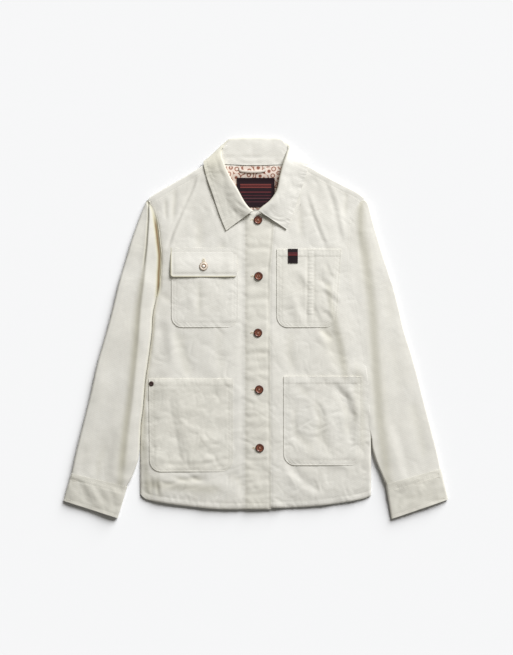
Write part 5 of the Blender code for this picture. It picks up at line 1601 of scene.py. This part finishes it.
# %% Flap button and pocket rivet
Turned = namedtuple("Turned", "name finish stands_for profile")
FLAP_BUTTON = (
    Turned("rim", copper, ["flap_button"], ((0, 0), (5.6, 0), (7.0, 0.4), (7.4, 1.2), (7.0, 1.6), (0, 1.6))),
    Turned("shell", cream_shell, [], ((0, 0.8), (6.6, 0.8), (6.9, 1.8), (6.4, 2.5), (5.4, 2.7), (4.4, 2.5),
                                      (3.6, 1.9), (0, 1.8))),
    Turned("ring", copper, [], ((0, 1.2), (3.7, 1.2), (3.7, 2.2), (3.2, 2.3), (2.6, 2.0), (0, 1.9))),
    # Its middle dome is near white, a painted highlight.
    Turned("glint_dome", glint_dome, [], ((0, 1.5), (2.5, 1.5), (2.5, 2.2), (1.9, 2.7), (1.0, 2.9), (0, 2.95))),
)
RIVET_PROFILE = ((0, 0), (4.5, 0), (4.6, 0.5), (4.1, 1.0), (3.3, 1.35), (2.6, 1.5), (2.0, 1.3), (1.4, 1.1),
                 (0, 1.05))
flap_at = place_on("flap_button", flap_surface)
for part in FLAP_BUTTON:
    mesh = spun(part.profile, flap_at)
    finish_piece("flap_button_" + part.name, mesh, part.finish, part.stands_for)
rivet_at = place_on("pocket_rivet", partial(pocket_surface, "lower_pocket_right"))
finish_piece("rivet_cap", spun(RIVET_PROFILE, rivet_at, 36), dark_copper, ["pocket_rivet"])


# %% [markdown]
# ## Stitching
#
# Every seam that shows is topstitched in ecru thread, about three stitches to the
# centimetre. A stitch is a short rounded bar pressed into the cloth, so each row is one
# list of places and one small shape, repeated. The thread is a little darker than the cloth.

# %% Rows of stitches
STITCH, STITCH_GAP = 2.3, 1.1
STITCH_SINK, STITCH_RADIUS, STITCH_FLATNESS = 0.12, 0.36, 0.8


def stitch_row(path, surface):
    """Stitches along a path of (x, y) places on a surface."""
    path = [Vector(p) for p in path]
    lengths = [0.0]
    for a, b in zip(path, path[1:]):
        lengths.append(lengths[-1] + (b - a).length)
    count = max(int(lengths[-1] / (STITCH + STITCH_GAP)), 1)
    starts = np.array([(k + 0.15) * lengths[-1] / count for k in range(count)])
    ends = starts + STITCH
    xs, ys = [p.x for p in path], [p.y for p in path]
    x0, y0 = np.interp(starts, lengths, xs), np.interp(starts, lengths, ys)
    x1, y1 = np.interp(ends, lengths, xs), np.interp(ends, lengths, ys)
    z0, z1 = surface(x0, y0) - STITCH_SINK, surface(x1, y1) - STITCH_SINK
    return [((x0[k], y0[k] + HEM_Y, z0[k]), (x1[k], y1[k] + HEM_Y, z1[k]), STITCH_RADIUS, STITCH_FLATNESS)
            for k in range(count)]


def patch_path(patch, inset, count=40):
    """A path down one side of a patch, round the bottom and up the other side."""
    rows = patch.bottom + inset + (patch.top - patch.bottom - inset) * (np.linspace(1, 0, count) ** 2)
    radius = max(patch.radius - inset, 1.0)
    inner = Patch(patch.side, patch.left + inset, patch.right - inset, patch.bottom_left + inset,
                  patch.bottom_right - inset, patch.bottom + inset, patch.top, radius)
    left, right = patch_span(inner, rows)
    down = list(zip(left, rows))
    return down + list(zip(right[::-1], rows[::-1]))


body_seams = []
for side in (RIGHT, LEFT):
    surface = partial(front_height, side)
    outs = np.linspace(-26 if side == RIGHT else 30, float(side_edge[side](30)) - 6, 90)
    body_seams += stitch_row(list(zip(outs * side, hem_edge[side](outs) + HEM_DEPTH)), surface)
    outs = np.linspace(STRAP + 12, 186, 60)
    body_seams += stitch_row(list(zip(outs * side, shoulder_fold[side](outs) - SEAM_DROP - 3.5)), surface)
    heights = np.linspace(390, 528, 60)
    body_seams += stitch_row(list(zip((side_edge[side](heights) - 5.5) * side, heights)), surface)
heights = np.linspace(HEM_DEPTH + 2, 497, 120)
for across in (np.full_like(heights, BAND[0] + 1.2), band_edge(heights) - 5.0):
    body_seams += stitch_row(list(zip(across, heights)), partial(front_height, RIGHT))
finish_piece("body_stitching", rounded_bars(body_seams), seam_thread)

pocket_seams = []
for name, patch in PATCHES.items():
    surface = partial(pocket_surface, name)
    for inset in POCKET_SEAMS:
        pocket_seams += stitch_row(patch_path(patch, inset), surface)
    left, right = patch_span(patch, np.array(patch.top - MOUTH_SEAM))
    pocket_seams += stitch_row([(left + 9, patch.top - MOUTH_SEAM), (right - 9, patch.top - MOUTH_SEAM)],
                               surface)
for x in PEN_SEAMS:
    pocket_seams += stitch_row([(x, 442), (x - 1, 330)], partial(pocket_surface, "chest_pocket_left"))
finish_piece("pocket_stitching", rounded_bars(pocket_seams), seam_thread)

flap_seams = stitch_row(patch_path(FLAP, FLAP_SEAM), flap_surface)
for drop in FLAP_TOP_SEAMS:
    flap_seams += stitch_row([(FLAP.left + 2, FLAP.top - drop), (FLAP.right - 2, FLAP.top - drop)],
                             flap_surface)
finish_piece("flap_stitching", rounded_bars(flap_seams), seam_thread)

cuff_seams = []
WELL_INSIDE = 30.0              # mm from both ends of a cuff's section, past the slopes to its rolls
for side in (RIGHT, LEFT):
    seam_outer, seam_inner, edge_outer, edge_inner = map(Vector, cuff_corners(side))
    for t in (0.09, 0.2, 0.91):
        outer, inner = seam_outer.lerp(edge_outer, t), seam_inner.lerp(edge_inner, t)
        a, b = outer.lerp(inner, 0.04), outer.lerp(inner, 0.96)
        surface = partial(cuff_height, side, from_outer=WELL_INSIDE, from_inner=WELL_INSIDE, t=t)
        cuff_seams += stitch_row([(a.x * side, a.y), (b.x * side, b.y)], surface)
finish_piece("cuff_stitching", rounded_bars(cuff_seams), seam_thread)
print("stitches:", len(body_seams + pocket_seams + flap_seams + cuff_seams))


# %% [markdown]
# ## Buttonholes
#
# A worked buttonhole is a slit with a dense rim of thread. The front ones lie across, and
# the buttons sit at their outer ends; the one in the flap stands upright over its button.

# %% Worked buttonholes
HOLE_LENGTH, HOLE_OFFSET = 15, 5.5      # and how far a hole's middle is from its button's
FRONT_SPREAD, FLAP_SPREAD = 1.1, 1.9    # from a hole's middle line to its rims
RIM_LIFT = 0.1                          # the rims' middle above the cloth


def buttonhole(x, y, z, angle, spread):
    """Bars for the rim of a buttonhole centred at (x, y), and for its slit."""
    way = Vector((math.cos(angle), math.sin(angle), 0))
    side_way = Vector((-way.y, way.x, 0))
    middle = Vector((x, y + HEM_Y, z + RIM_LIFT))
    half, gap = way * HOLE_LENGTH / 2, side_way * spread
    rim = [(middle - half + gap * sign, middle + half + gap * sign, 0.75, 0.7) for sign in (-1, 1)]
    rim += [(middle + half * sign - gap, middle + half * sign + gap, 0.7, 0.7) for sign in (-1, 1)]
    return rim, [(middle - half * 0.85, middle + half * 0.85, spread - 0.6, 0.8)]


rims, slits = [], []
for number in range(1, 6):
    at = place_on("front_button_%d" % number, partial(front_height, RIGHT))
    x, y = at.x / MM - HOLE_OFFSET, at.y / MM - HEM_Y
    level = float(front_height(RIGHT, np.array([x - 3]), np.array([y]))[0])
    rim, slit = buttonhole(x, y, level, 0.0, FRONT_SPREAD)
    rims, slits = rims + rim, slits + slit
x, y = flap_at.x / MM, flap_at.y / MM - HEM_Y + HOLE_OFFSET
level = float(flap_surface(np.array([x]), np.array([y]))[0])
rim, slit = buttonhole(x, y, level, math.pi / 2, FLAP_SPREAD)
rims, slits = rims + rim, slits + slit
finish_piece("buttonhole_rims", rounded_bars(rims), thread)
finish_piece("buttonhole_slits", rounded_bars(slits), closed_slit)


# %% [markdown]
# ## What each sheet was cut from
#
# Each cloth piece is listed with the size of the cut that shows, as measured along the
# threads of its finished shell, and the share of that size which its area fills is printed.
# A sleeve or a cuff is counted all round, because it is a tube laid flat, and the collar is
# measured round its outer edge. A pocket's size is its outline's. The hanger loop is really
# only 4 mm wide, but a sheet can't be declared narrower than 10 mm. The area is the shell's
# own, because creasing doesn't change how much cloth there is.

FRONT_CUT = {RIGHT: (0.236, 0.597), LEFT: (0.226, 0.593)}       # width and length, in metres
SLEEVE_CUT = {RIGHT: (0.228, 0.512), LEFT: (0.226, 0.509)}
CUFF_CUT = {RIGHT: (0.211, 0.057), LEFT: (0.214, 0.062)}


def declare(piece, flat):
    """Prints a sheet's cut, and the share of its width times its length that its shell's own area fills."""
    area = sum(face.area for face in piece.data.polygons)
    share = area / (flat[0] * flat[1])
    print("%-22s %.3f x %.3f m, area share %.2f" % (piece.name, flat[0], flat[1], share))


for side in (RIGHT, LEFT):
    declare(fronts[side], FRONT_CUT[side])
    declare(sleeves[side], SLEEVE_CUT[side])
    declare(cuffs[side], CUFF_CUT[side])
declare(back, (0.410, 0.622))
declare(collar, (0.46, 0.114))
for name, piece in pockets.items():
    patch = PATCHES[name]
    declare(piece, (round((patch.right - patch.left) * MM, 4), (patch.top - patch.bottom) * MM))
declare(flap, (0.116, 0.053))
declare(lining, (0.116, 0.075))
declare(label, (0.066, 0.051))
declare(tab, (0.017, 0.025))
declare(loop, (0.060, 0.01))
